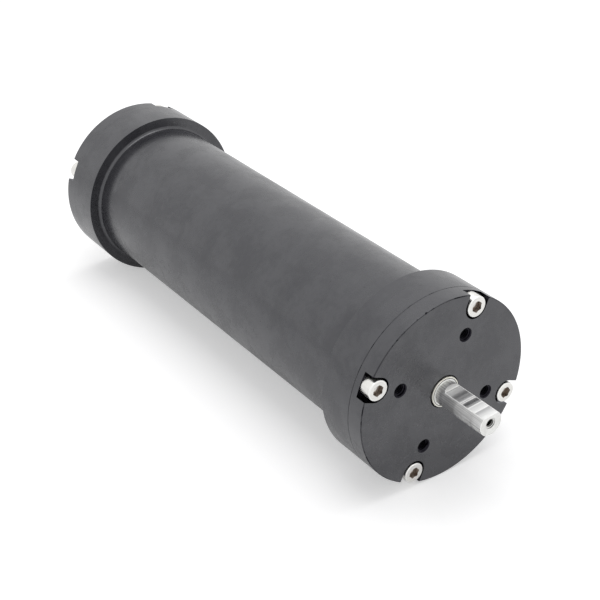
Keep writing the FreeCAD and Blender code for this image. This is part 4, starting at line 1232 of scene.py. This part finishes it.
@dataclass
class CoverJoint:
    """The sizes that the covers, the collars and their screws share.

    Attributes:
        x_ends: outer faces of the two covers.
        thickness: cover thickness outside the collar.
        rim_r: outer radius of covers and collars.
        spigot_r: radius of the spigots in the bore.
        spigot_lead: lead-in at their ends.
        screw_circle_r: radius of the circle that the cover screws stand on.
        screw_angle: angle of the first screw.
        screw_count: screws in each cover.
        slot_depth: depth of the slots for the heads.
        slot_half_width: half the width of a slot.
        slot_round: how much of that half its rounded end takes up, just under all of it.
        clearance_r: screw holes in the covers.
        tapped_r: screw holes in the collars.
        tapped_depth: their depth.
        groove_place: middle of the seal groove from the collar.
        groove_width: its width.
        groove_floor_r: its floor.
        rim_break: rounding of the outer rim.
        seam_breaks: rounding of the edges at the front seam, and at the rear one, which hardly shows.
        edge_break: rounding of milled edges.
        seam_margin: strip along the seam whose milled edges stay sharp.
        mouth_depth: depth from which a hole counts as dark.
        rim_margin: strip along the rim that doesn't count as dark.
    """

    x_ends: Tuple[float, float] = (0.0, -278.0)
    thickness: float = 9.0
    rim_r: float = 46.5
    spigot_r: float = 33.97
    spigot_lead: float = 0.6
    screw_circle_r: float = 41.1
    screw_angle: float = 68.1
    screw_count: int = 4
    slot_depth: float = 5.5
    slot_half_width: float = 6.0
    slot_round: float = 0.9999
    clearance_r: float = 3.15
    tapped_r: float = 3.05
    tapped_depth: float = 15.0
    groove_place: float = 6.6
    groove_width: float = 2.6
    groove_floor_r: float = 32.1
    rim_break: float = 0.4
    seam_breaks: Tuple[float, float] = (0.2, 0.05)
    edge_break: float = 0.2
    seam_margin: float = 0.5
    mouth_depth: float = 0.2
    rim_margin: float = 0.4

    def x_outer(self, end: End) -> float:
        """Outer face of a cover."""
        return self.x_ends[0] if end is End.FRONT else self.x_ends[1]

    def x_seam(self, end: End) -> float:
        """Plane where a cover meets its collar."""
        return self.x_outer(end) - end.value * self.thickness

    def x_slot_floor(self, end: End) -> float:
        """Plane that the screw heads stand on."""
        return self.x_outer(end) - end.value * self.slot_depth

    def seam_break(self, end: End) -> float:
        """Rounding of the edges at a seam."""
        return self.seam_breaks[0] if end is End.FRONT else self.seam_breaks[1]

    def round_screws(self, make: Callable[[], Mesh]) -> List[Mesh]:
        """Copies at the places of the screws, or on a circle of their own at the same angles."""
        return ring_of(make, self.screw_count, self.screw_angle)

    def turned_disc(self, end: End, bore: Tuple[float, float], x_spigot: float,
                    inside: Sequence[Corner]) -> Mesh:
        """Turned blank of a cover with its spigot and seal groove.

        Args:
            end: which cover.
            bore: radius of the bore in the outer face, and its rounding.
            x_spigot: end of the spigot.
            inside: the rest of the outline, from the spigot's end to the bore.

        Returns:
            The blank.
        """
        x_seam = self.x_seam(end)
        x_groove = x_seam - end.value * self.groove_place
        half = end.value * self.groove_width / 2
        return lathe([
            (self.x_outer(end), *bore),
            (self.x_outer(end), self.rim_r, self.rim_break),
            (x_seam, self.rim_r, self.seam_break(end)),
            (x_seam, self.spigot_r, 0),
            (x_groove + half, self.spigot_r, 0),
            (x_groove + half, self.groove_floor_r, 0),
            (x_groove - half, self.groove_floor_r, 0),
            (x_groove - half, self.spigot_r, 0),
            (x_spigot + end.value * self.spigot_lead, self.spigot_r, 0),
            (x_spigot, self.spigot_r - self.spigot_lead, 0),
            *inside,
        ], steps=COVER_STEPS, plain=(self.seam_break(End.REAR),))

    def milled(self, end: End, blank: Mesh, holes: List[Mesh], inner_r: float) -> Mesh:
        """Mills the slots and the holes of a cover and breaks the edges that show.

        Args:
            end: which cover.
            blank: the turned disc.
            holes: tools for its other holes.
            inner_r: milled edges nearer to the axis stay sharp.

        Returns:
            The milled cover.
        """
        outer = self.x_outer(end)
        reach = self.thickness - self.seam_margin
        drill_end = self.x_seam(end) - end.value
        slots = self.round_screws(lambda: self.slot(end))
        drills = self.round_screws(
            lambda: moved(bar(outer, drill_end, self.clearance_r), 0, self.screw_circle_r))
        return break_sharp_edges(cut(blank, slots + drills + holes), self.edge_break,
                                 lambda place: abs(place.x - outer) < reach and off_axis(place) > inner_r)

    def slot(self, end: End) -> Mesh:
        """Tool for one slot that is open to the rim, with a round inner end.

        Args:
            end: which cover.

        Returns:
            A closed mesh.
        """
        inner = self.screw_circle_r - self.slot_half_width
        outer = self.rim_r + OVERCUT
        half = self.slot_half_width
        floor = self.x_slot_floor(end)
        corners = ((floor, inner, -half), (floor, outer, -half), (floor, outer, half), (floor, inner, half))
        travel = end.value * (self.slot_depth + OVERCUT)
        return mark_radius(milled_path(corners, (0, 3), half * self.slot_round, 14, (travel, 0, 0)))

    def in_recess(self, end: End) -> Callable[[Vector], bool]:
        """Test for places in the holes and slots of a cover.

        Args:
            end: which cover.

        Returns:
            The test.
        """
        outer = self.x_outer(end)
        return lambda place: (abs(place.x - outer) > self.mouth_depth
                              and off_axis(place) < self.rim_r - self.rim_margin)


@dataclass
class HousingTube:
    """Tube turned from one bar, with a thicker collar at each end."""

    joint: CoverJoint
    x_front_collar: float = -28.0
    x_rear_collar: float = -249.5
    tube_r: float = 40.0
    bore_r: float = 34.0
    root_fillet: float = 1.8
    collar_break: float = 0.15

    def build(self, library: FinishLibrary) -> None:
        """Turns the tube, taps the collars and settles the piece.

        Args:
            library: where the finishes come from.
        """
        joint = self.joint
        x_front = joint.x_seam(End.FRONT)
        x_rear = joint.x_seam(End.REAR)
        lead = joint.spigot_lead
        tight = joint.seam_break(End.REAR)
        stock = lathe([
            (x_front, self.bore_r + lead, 0),
            (x_front, joint.rim_r, joint.seam_break(End.FRONT)),
            (self.x_front_collar, joint.rim_r, self.collar_break),
            (self.x_front_collar, self.tube_r, self.root_fillet),
            (self.x_rear_collar, self.tube_r, self.root_fillet),
            (self.x_rear_collar, joint.rim_r, self.collar_break),
            (x_rear, joint.rim_r, tight),
            (x_rear, self.bore_r + lead, 0),
            (x_rear + lead, self.bore_r, 0),
            (x_front - lead, self.bore_r, 0),
        ], steps=COVER_STEPS, segments=6, plain=(self.collar_break, self.root_fillet, tight))
        tools = self.tapped(End.FRONT) + self.tapped(End.REAR)
        settle(cut(stock, tools), "turned_housing_tube", "anodised_black", Body.HOUSING, ["housing_tube"],
               library)

    def tapped(self, end: End) -> List[Mesh]:
        """Tools for the tapped holes in one collar.

        Args:
            end: which collar.

        Returns:
            The tools.
        """
        joint = self.joint
        x_start = joint.x_seam(end) + end.value * OVERCUT
        x_end = joint.x_seam(end) - end.value * joint.tapped_depth
        return joint.round_screws(
            lambda: moved(bar(x_start, x_end, joint.tapped_r, SMALL_HOLE_STEPS), 0, joint.screw_circle_r))


@dataclass
class FrontCover:
    """Disc with the shaft bore, the screw slots and the tapped mounting holes."""

    joint: CoverJoint
    x_spigot: float = -21.0
    pilot_r: float = 16.0
    x_pilot: float = -17.0
    seal_r: float = 13.0
    x_seal: float = -3.0
    inner_break: float = 0.2
    shaft_bore_r: float = 8.0
    shaft_bore_break: float = 0.1
    mount_circle_r: float = 27.5
    mount_r: float = 3.0
    mount_depth: float = 12.0
    mount_chamfer: float = 0.5
    mount_pitch: float = 1.0
    mount_crest_r: float = 2.6
    ridge_root: float = 0.05
    flange_circle_r: float = 29.2
    flange_r: float = 2.05
    flange_depth: float = 8.0
    flange_angle: float = 23.1
    nick_angle: float = 106.6
    nick_r: float = 0.65

    def build(self, library: FinishLibrary) -> None:
        """Turns, drills, slots and threads the cover.

        Args:
            library: where the finishes come from.
        """
        joint = self.joint
        blank = joint.turned_disc(End.FRONT, (self.shaft_bore_r, self.shaft_bore_break), self.x_spigot, [
            (self.x_spigot, self.pilot_r, self.inner_break),
            (self.x_pilot, self.pilot_r, 0),
            (self.x_pilot, self.seal_r, self.inner_break),
            (self.x_seal, self.seal_r, 0),
            (self.x_seal, self.shaft_bore_r, 0),
        ])
        holes = joint.round_screws(self.mount_drill)
        holes += ring_of(self.flange_drill, joint.screw_count, self.flange_angle)
        cover = joint.milled(End.FRONT, blank, holes, self.mount_circle_r - self.mount_r - OVERCUT)
        parts = [cut(cover, [self.nick()])] + joint.round_screws(self.mount_thread)
        # Painted shade in the slots, the screw holes, the mounting holes and their thread, and in the knock
        # in the rim.
        whole = mark_recess(joined(parts), joint.in_recess(End.FRONT))
        spot = facing(self.nick_angle) * joint.rim_r
        mark_recess(whole, lambda place: (place - spot).length < self.nick_r)
        settle(whole, "machined_front_cover", "anodised_black", Body.HOUSING, ["front_cover"], library)

    def nick(self) -> Mesh:
        """Tool for the small knock in the front rim.

        Returns:
            A closed mesh.
        """
        bm = bmesh.new()
        bmesh.ops.create_uvsphere(bm, u_segments=12, v_segments=8, radius=self.nick_r)
        return mark_radius(turned(moved(bm, 0, self.joint.rim_r), math.radians(self.nick_angle)))

    def mount_drill(self) -> Mesh:
        """Tool for one mounting hole."""
        tool = drill(self.joint.x_outer(End.FRONT), self.mount_r, self.mount_depth, self.mount_chamfer)
        return moved(tool, 0, self.mount_circle_r)

    def mount_thread(self) -> Mesh:
        """Thread ridge in one mounting hole.

        Returns:
            A closed mesh.
        """
        ridge = thread(-self.mount_chamfer, -self.mount_depth + self.mount_pitch,
                       self.mount_r + self.ridge_root, self.mount_crest_r, self.mount_pitch)
        return moved(ridge, 0, self.mount_circle_r)

    def flange_drill(self) -> Mesh:
        """Tool for one tapped hole that holds the gearbox flange.

        Returns:
            A closed mesh.
        """
        tool = bar(self.x_spigot - OVERCUT, self.x_spigot + self.flange_depth, self.flange_r,
                   SMALL_HOLE_STEPS)
        return moved(tool, 0, self.flange_circle_r)


@dataclass
class RearCover:
    """Disc and hollow spigot with the threaded hole for the cable gland."""

    joint: CoverJoint
    x_spigot: float = -257.0
    recess_r: float = 27.97
    gland_hole_r: float = 10.05
    inner_break: float = 0.2

    def build(self, library: FinishLibrary) -> None:
        """Turns and slots the cover.

        Args:
            library: where the finishes come from.
        """
        joint = self.joint
        x_seam = joint.x_seam(End.REAR)
        blank = joint.turned_disc(End.REAR, (self.gland_hole_r, self.inner_break), self.x_spigot, [
            (self.x_spigot, self.recess_r, self.inner_break),
            (x_seam, self.recess_r, 0),
            (x_seam, self.gland_hole_r, 0),
        ])
        # Painted shade in the slots and the screw holes.
        cover = mark_recess(joint.milled(End.REAR, blank, [], self.recess_r), joint.in_recess(End.REAR))
        settle(cover, "machined_rear_cover", "anodised_black", Body.HOUSING, ["rear_cover"], library)


@dataclass
class CoverScrew:
    """Socket cap screw of the covers, with its head towards +X and its underside at the origin."""

    head_r: float = 5.0
    head_height: float = 6.0
    head_break: float = 0.5
    seat_break: float = 0.15
    socket_af: float = 5.0
    socket_depth: float = 3.0
    socket_chamfer: float = 0.15
    drill_rise: float = 0.2
    drill_inset: float = 0.15
    drill_depth: float = 1.2
    wall_foot: float = 0.3
    floor_reach: float = 0.6
    floor_shade: float = 0.15
    shank_r: float = 3.0
    crest_gap: float = 0.02
    neck_length: float = 1.5
    neck_end: float = 2.0
    length: float = 16.0
    tip_length: float = 0.75
    tip_step: float = 0.5
    pitch: float = 1.0
    root_r: float = 2.5
    root_gap: float = 0.05
    ridge_start: float = 1.8
    ridge_gap: float = 0.4
    thread_steps: int = 24

    def build(self) -> Mesh:
        """Turns the blank, broaches the socket and rolls the thread.

        Returns:
            The mesh of one screw.
        """
        top = self.head_height
        crest_r = self.shank_r - self.crest_gap
        blank = lathe([
            (top, 0, 0),
            (top, self.head_r, self.head_break),
            (0, self.head_r, self.seat_break),
            (0, crest_r, 0),
            (-self.neck_length, crest_r, 0),
            (-self.neck_end, self.root_r, 0),
            (-self.length + self.tip_length, self.root_r, 0),
            (-self.length, self.root_r - self.tip_step, 0),
            (-self.length, 0, 0),
        ], steps=64, segments=4)
        floor = top - self.socket_depth
        mouth = top - self.socket_chamfer
        flat_r = self.socket_af / 2
        corner_r = self.socket_af / math.sqrt(3)
        cone = floor + self.drill_rise
        body = cut(blank, [
            hexagon(top + OVERCUT, floor, self.socket_af),
            lathe([(top + OVERCUT, 0, 0), (top + OVERCUT, flat_r + self.socket_chamfer + OVERCUT, 0),
                   (mouth, flat_r, 0), (mouth, 0, 0)], HOLE_STEPS),
            lathe([(cone, 0, 0), (cone, flat_r - self.drill_inset, 0), (floor - self.drill_depth, 0, 0)],
                  SMALL_HOLE_STEPS),
        ])
        # Painted shade on the socket walls, and lighter painted shade on its floor, which catches more light.
        mark_recess(body, lambda place: floor + self.wall_foot < place.x < mouth
                    and off_axis(place) < corner_r)
        mark_recess(body, lambda place: abs(place.x - floor) <= self.floor_reach
                    and off_axis(place) < corner_r, self.floor_shade)
        ridge = thread(-self.ridge_start, -self.length + self.ridge_gap, self.root_r - self.root_gap,
                       crest_r, self.pitch, self.thread_steps)
        return mark_radius(joined([body, ridge]))


@dataclass
class CoverScrews:
    """The four screws of one cover."""

    joint: CoverJoint
    end: End
    screw: CoverScrew
    first_turn: float = 17.0
    next_turn: float = 23.0

    def build(self, library: FinishLibrary) -> None:
        """Sets the screws into the slots, each turned a little differently.

        Args:
            library: where the finishes come from.
        """
        name = self.end.name.lower()
        screws = []
        for index in range(self.joint.screw_count):
            one = turned(self.screw.build(), math.radians(self.first_turn + self.next_turn * index))
            if self.end is End.REAR:
                turned(one, math.pi, "Z")
            moved(one, self.joint.x_slot_floor(self.end), self.joint.screw_circle_r)
            screws.append(turned(one, math.radians(self.joint.screw_angle) + index * QUARTER))
        settle(joined(screws), f"{name}_cap_screws", "stainless_screw", Body.HOUSING,
               [f"{name}_cover_screws"], library)


@dataclass
class OutputShaft:
    """Stainless output shaft in one piece with the carrier plate of the second stage."""

    flat: ShaftFlat = ShaftFlat()
    end_break: float = 0.2
    journal_proud: float = 0.8
    journal_r: float = 7.5
    journal_break: float = 0.3
    lip_r: float = 6.5
    lip_groove: float = 0.35
    lip_break: float = 0.08
    lip_margin: float = 0.02
    face_margin: float = 0.05
    lip_shade: float = 0.7
    x_ring: Tuple[float, float] = (-19.3, -20.5)
    ring_floor_r: float = 6.7
    x_shoulder: float = -41.0
    shoulder_r: float = 9.3
    shoulder_break: float = 0.2
    x_plate: float = -43.6
    plate_r: float = 19.4
    plate_break: float = 0.4
    x_back: float = -48.6
    pin_circle_r: float = 13.5
    pin_r: float = 2.5
    pin_count: int = 3
    flat_runout: float = 1.7
    flat_break: float = 0.2
    plane_reach: float = 0.02
    hole_r: float = 2.5
    hole_depth: float = 13.0
    hole_chamfer: float = 0.35
    hole_pitch: float = 0.8
    hole_crest_r: float = 2.08
    hole_margin: float = 0.1
    ridge_root: float = 0.04
    ridge_gap: float = 1.0
    lit_depth: float = 2.0

    def build(self, library: FinishLibrary) -> None:
        """Turns the shaft, mills its flat and taps its end.

        Args:
            library: where the finishes come from.
        """
        face = self.journal_proud
        lip_floor = face - self.lip_groove
        lip_end = self.lip_r + self.lip_groove
        stock = lathe([
            (self.flat.end, 0, 0),
            (self.flat.end, self.flat.shaft_r, self.end_break),
            (face, self.flat.shaft_r, 0),
            (face, self.lip_r, self.lip_break),
            (lip_floor, self.lip_r, 0),
            (lip_floor, lip_end, 0),
            (face, lip_end, self.lip_break),
            (face, self.journal_r, self.journal_break),
            (self.x_ring[0], self.journal_r, 0),
            (self.x_ring[0], self.ring_floor_r, 0),
            (self.x_ring[1], self.ring_floor_r, 0),
            (self.x_ring[1], self.journal_r, 0),
            (self.x_shoulder, self.journal_r, 0),
            (self.x_shoulder, self.shoulder_r, self.shoulder_break),
            (self.x_plate, self.shoulder_r, 0),
            (self.x_plate, self.plate_r, self.plate_break),
            (self.x_back, self.plate_r, self.plate_break),
            (self.x_back, 0, 0),
        ], steps=144)
        centre = drill(self.flat.end, self.hole_r, self.hole_depth, self.hole_chamfer)
        tools = [self.flat_cutter(), centre] + ring_of(self.pin_drill, self.pin_count, 0.0)
        shaft = break_sharp_edges(cut(stock, tools), self.flat_break, self.on_flat_edge)
        mouth = self.flat.end - self.hole_chamfer
        ridge = thread(mouth, self.flat.end - self.hole_depth + self.ridge_gap, self.hole_r + self.ridge_root,
                       self.hole_crest_r, self.hole_pitch)
        # Painted shade in the tapped centre hole, on its deeper thread and in the lip groove.
        mark_recess(shaft, lambda place: face < place.x < mouth
                    and off_axis(place) < self.hole_r + self.hole_margin)
        mark_recess(ridge, lambda place: place.x < self.flat.end - self.lit_depth)
        mark_recess(shaft, lambda place: 0 < place.x < face - self.face_margin
                    and self.lip_r - self.lip_margin < off_axis(place) < lip_end + self.lip_margin,
                    self.lip_shade)
        settle(joined([shaft, ridge]), "turned_output_shaft", "stainless_shaft", Body.OUTPUT,
               ["output_shaft"], library)

    def flat_cutter(self) -> Mesh:
        """Milling cutter's path along the flat, with its rounded run-out.

        Returns:
            A closed mesh.
        """
        start = self.flat.start - self.flat_runout
        end = self.flat.end + OVERCUT
        side = self.flat.shaft_r + OVERCUT
        low = self.flat.height
        top = side + self.flat_runout
        corners = ((start, -side, low), (end, -side, low), (end, -side, top), (start, -side, top))
        path = milled_path(corners, (0,), self.flat_runout, 8, (0, 2 * side, 0))
        return mark_radius(turned(path, math.radians(self.flat.angle - 90.0)))

    def pin_drill(self) -> Mesh:
        """Tool for one planet pin hole in the carrier plate."""
        hole = bar(self.x_plate + OVERCUT, self.x_back - OVERCUT, self.pin_r, SMALL_HOLE_STEPS)
        return moved(hole, 0, self.pin_circle_r)

    def on_flat_edge(self, place: Vector) -> bool:
        """Whether a place lies on the edge of the flat."""
        return (place.x > self.journal_proud and off_axis(place) > self.hole_r + OVERCUT
                and place.dot(facing(self.flat.angle)) > self.flat.height - self.plane_reach)


@dataclass
class CableGland:
    """Body and dome nut of the gland that seals the cable in the rear cover."""

    x_inside: float = -266.0
    thread_r: float = 10.0
    x_hex: float = -279.5
    x_neck: float = -284.5
    neck_step: float = 2.0
    x_end: float = -293.5
    hex_af: float = 24.0
    hex_chamfer: float = 1.0
    hex_break: float = 0.15
    sleeve_break: float = 0.3
    thread_break: float = 0.5
    bore_break: float = 0.2
    mouth_break: float = 0.25
    neck_r: float = 9.0
    bore_r: float = 6.0
    collar_gap: float = 0.5
    nut_gap: float = 0.8
    nut_length: float = 16.0
    nut_hex: float = 8.0
    nut_play: float = 0.05
    mouth_r: float = 4.75
    mouth_rim: float = 1.6
    dome_bulge: float = 1.5
    dome_steps: int = 12

    def build(self, library: FinishLibrary) -> None:
        """Builds the body and the dome nut."""
        self.body(library)
        self.dome_nut(library)

    def collar(self, x_start: float, x_end: float, bore_r: float) -> Mesh:
        """Bored hexagon with its corners turned off at both ends and its edges broken.

        Args:
            x_start: its front end.
            x_end: its rear end.
            bore_r: radius of its bore.

        Returns:
            A closed mesh.
        """
        corner_r = self.hex_af / math.sqrt(3)
        chamfer = self.hex_chamfer
        envelope = lathe([
            (x_start, 0, 0), (x_start, corner_r - chamfer, 0), (x_start - chamfer / 2, corner_r, 0),
            (x_end + chamfer / 2, corner_r, 0), (x_end, corner_r - chamfer, 0), (x_end, 0, 0),
        ], GLAND_STEPS)
        solid = cut(hexagon(x_start, x_end, self.hex_af), [envelope], Cut.KEEP_COMMON)
        bored = cut(solid, [bar(x_start + OVERCUT, x_end - OVERCUT, bore_r, GLAND_STEPS)])
        return break_sharp_edges(bored, self.hex_break, lambda place: off_axis(place) > self.thread_r)

    def body(self, library: FinishLibrary) -> None:
        """Threaded body with its hexagon and the neck for the dome nut.

        Args:
            library: where the finishes come from.
        """
        sleeve = lathe([
            (self.x_inside, self.bore_r, self.sleeve_break),
            (self.x_inside, self.thread_r, self.thread_break),
            (self.x_neck + self.neck_step, self.thread_r, 0),
            (self.x_neck + self.neck_step, self.neck_r, 0),
            (self.x_end, self.neck_r, self.sleeve_break),
            (self.x_end, self.bore_r, self.bore_break),
        ], GLAND_STEPS)
        collar = self.collar(self.x_hex, self.x_neck, self.bore_r + self.collar_gap)
        settle(joined([sleeve, collar]), "gland_threaded_body", "gland_metal", Body.HOUSING, ["gland_body"],
               library)

    def dome_nut(self, library: FinishLibrary) -> None:
        """Nut with a hexagon at its foot and a rounded nose.

        Args:
            library: where the finishes come from.
        """
        x_front = self.x_neck - self.nut_gap
        x_step = x_front - self.nut_hex
        collar = self.collar(x_front, x_step, self.neck_r + self.nut_play)
        nose = lathe(self.nose_outline(x_step, x_front - self.nut_length), GLAND_STEPS)
        settle(joined([collar, nose]), "gland_domed_nut", "gland_metal", Body.HOUSING, ["gland_dome_nut"],
               library)

    def nose_outline(self, x_step: float, x_back: float) -> List[Corner]:
        """Outline of the nose, with its arc from the foot to the rim of the mouth.

        Args:
            x_step: where the hexagon ends.
            x_back: end of the nut.

        Returns:
            The corners, as lathe takes them.
        """
        foot = Vector((x_step, self.hex_af / 2))
        rim = Vector((x_back, self.mouth_r + self.mouth_rim))
        crown = (foot + rim) / 2 + Vector((-self.dome_bulge, self.dome_bulge))
        control = crown * 2 - (foot + rim) / 2
        arc = []
        for step in range(self.dome_steps + 1):
            part = step / self.dome_steps
            point = foot * (1 - part) ** 2 + control * 2 * part * (1 - part) + rim * part ** 2
            arc.append((point.x, point.y, 0.0))
        shelf = self.x_end - self.nut_gap
        wide = self.neck_r + self.nut_play
        return arc + [(x_back, self.mouth_r, self.mouth_break), (shelf, self.mouth_r, 0), (shelf, wide, 0),
                      (x_step, wide, 0)]


class CarriedOverParts:
    """The CAD nodes that keep their own mesh, inside the housing and at the gland."""

    def dress(self, library: FinishLibrary) -> None:
        """Gives every node the finish of its slot, in every slot that it has.

        Args:
            library: where the finishes come from.
        """
        for name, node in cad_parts.items():
            for slot in node.material_slots:
                plain = slot.material.name.split(".")[0] if slot.material else "plain_aluminium"
                slot.link = "DATA"
                slot.material = library.material(plain, False)
            log.info("%s: carried over", name)


# Studio


@dataclass
class Studio:
    """White sweep, even white surroundings, a soft lamp overhead and the camera.

    Attributes:
        floor_z: height of the floor, in metres.
        azimuth: direction of the camera from the front, in degrees.
        elevation: height of the camera, in degrees.
        camera_place: where the camera stands, in metres.
        lens: focal length for the sensor's width, both in millimetres.
        sensor: width of the sensor.
        sight: how far the camera sees, in metres.
        surround: strength of the light that the surroundings give.
        lamp_power: power of the overhead lamp, in watts.
        lamp_size: its side, in metres.
        lamp_place: where it hangs, in metres.
        floor_size: side of the floor, in metres.
        floor_colour: colour of the paper.
        floor_roughness: its roughness.
        floor_specular: strength of its highlight.
        floor_lift: glow that the camera sees on the floor, which brings it to white.
        reflected_lift: the same for reflections.
    """

    floor_z: float = -0.0465
    azimuth: float = 54.73
    elevation: float = 30.02
    camera_place: Corner = (0.3309, -0.3120, 0.3067)
    lens: float = 73.9
    sensor: float = 36.0
    sight: float = 50.0
    surround: float = 0.6
    lamp_power: float = 5.5
    lamp_size: float = 1.0
    lamp_place: Corner = (-0.2, 0.1, 1.1)
    floor_size: float = 30.0
    floor_colour: Colour = (0.86, 0.86, 0.865)
    floor_roughness: float = 0.9
    floor_specular: float = 0.1
    floor_lift: float = 0.4
    reflected_lift: float = 0.2

    def build(self) -> None:
        """Sets up the floor, the surroundings, the lamp and the camera."""
        self.floor()
        self.world()
        self.lamp()
        self.camera()
        bpy.context.scene.view_settings.view_transform = "Standard"

    def white_rays(self, nodes: Nodes) -> Socket:
        """Mask of the rays that see the background: camera, reflection and transmission.

        Args:
            nodes: nodes of the material or the world.

        Returns:
            The mask.
        """
        path = nodes.new("LightPath").outputs
        both = nodes.add(path["Is Camera Ray"], path["Is Glossy Ray"], clamp=True)
        return nodes.add(both, path["Is Transmission Ray"], clamp=True)

    def floor(self) -> None:
        """Pale floor that keeps the shadow of the motor."""
        bm = bmesh.new()
        bmesh.ops.create_grid(bm, x_segments=8, y_segments=8, size=self.floor_size / 2)
        bmesh.ops.translate(bm, vec=(0, 0, self.floor_z), verts=bm.verts[:])
        floor = held(bm, "studio_floor")
        material = bpy.data.materials.new("studio_paper")
        material.use_nodes = True
        nodes = Nodes(material.node_tree)
        shader = nodes.tree.nodes["Principled BSDF"].inputs
        nodes.feed(shader["Base Color"], (*self.floor_colour, 1.0))
        nodes.feed(shader["Roughness"], self.floor_roughness)
        nodes.feed(shader["Specular IOR Level"], self.floor_specular)
        nodes.feed(shader["Emission Color"], (1.0, 1.0, 1.0, 1.0))
        camera_only = nodes.new("LightPath").outputs["Is Camera Ray"]
        lift = nodes.add(nodes.times(self.white_rays(nodes), self.reflected_lift),
                         nodes.times(camera_only, self.floor_lift - self.reflected_lift))
        nodes.feed(shader["Emission Strength"], lift)
        floor.data.materials.append(material)

    def world(self) -> None:
        """White surroundings."""
        world = bpy.data.worlds.new("white_room")
        bpy.context.scene.world = world
        world.use_nodes = True
        nodes = Nodes(world.node_tree)
        background = nodes.tree.nodes["Background"].inputs
        nodes.feed(background["Color"], (1.0, 1.0, 1.0, 1.0))
        nodes.feed(background["Strength"], nodes.ramp(self.white_rays(nodes), 0.0, 1.0, self.surround, 1.0))

    def lamp(self) -> None:
        """Large soft lamp above the motor."""
        data = bpy.data.lights.new("overhead_lamp", "AREA")
        data.shape = "SQUARE"
        data.size = self.lamp_size
        data.energy = self.lamp_power
        lamp = bpy.data.objects.new("overhead_lamp", data)
        lamp.location = self.lamp_place
        bpy.context.scene.collection.objects.link(lamp)

    def camera(self) -> None:
        """Camera at the viewing angle of the photograph."""
        data = bpy.data.cameras.new("photo_camera")
        data.lens = self.lens
        data.sensor_width = self.sensor
        data.clip_end = self.sight
        camera = bpy.data.objects.new("photo_camera", data)
        turn = math.radians(self.azimuth)
        lift = math.radians(self.elevation)
        back = Vector((math.sin(turn) * math.cos(lift), -math.cos(turn) * math.cos(lift), math.sin(lift)))
        camera.location = self.camera_place
        camera.rotation_mode = "QUATERNION"
        camera.rotation_quaternion = (-back).to_track_quat("-Z", "Y")
        bpy.context.scene.collection.objects.link(camera)
        bpy.context.scene.camera = camera


def main() -> None:
    """Builds and dresses the gear motor."""
    logging.basicConfig(level=logging.INFO, format="%(message)s")
    library = FinishLibrary(FINISHES)
    CarriedOverParts().dress(library)
    joint = CoverJoint()
    HousingTube(joint).build(library)
    FrontCover(joint).build(library)
    RearCover(joint).build(library)
    for end in End:
        CoverScrews(joint, end, CoverScrew()).build(library)
    OutputShaft().build(library)
    CableGland().build(library)
    Studio().build()


if __name__ == "__main__":
    main()
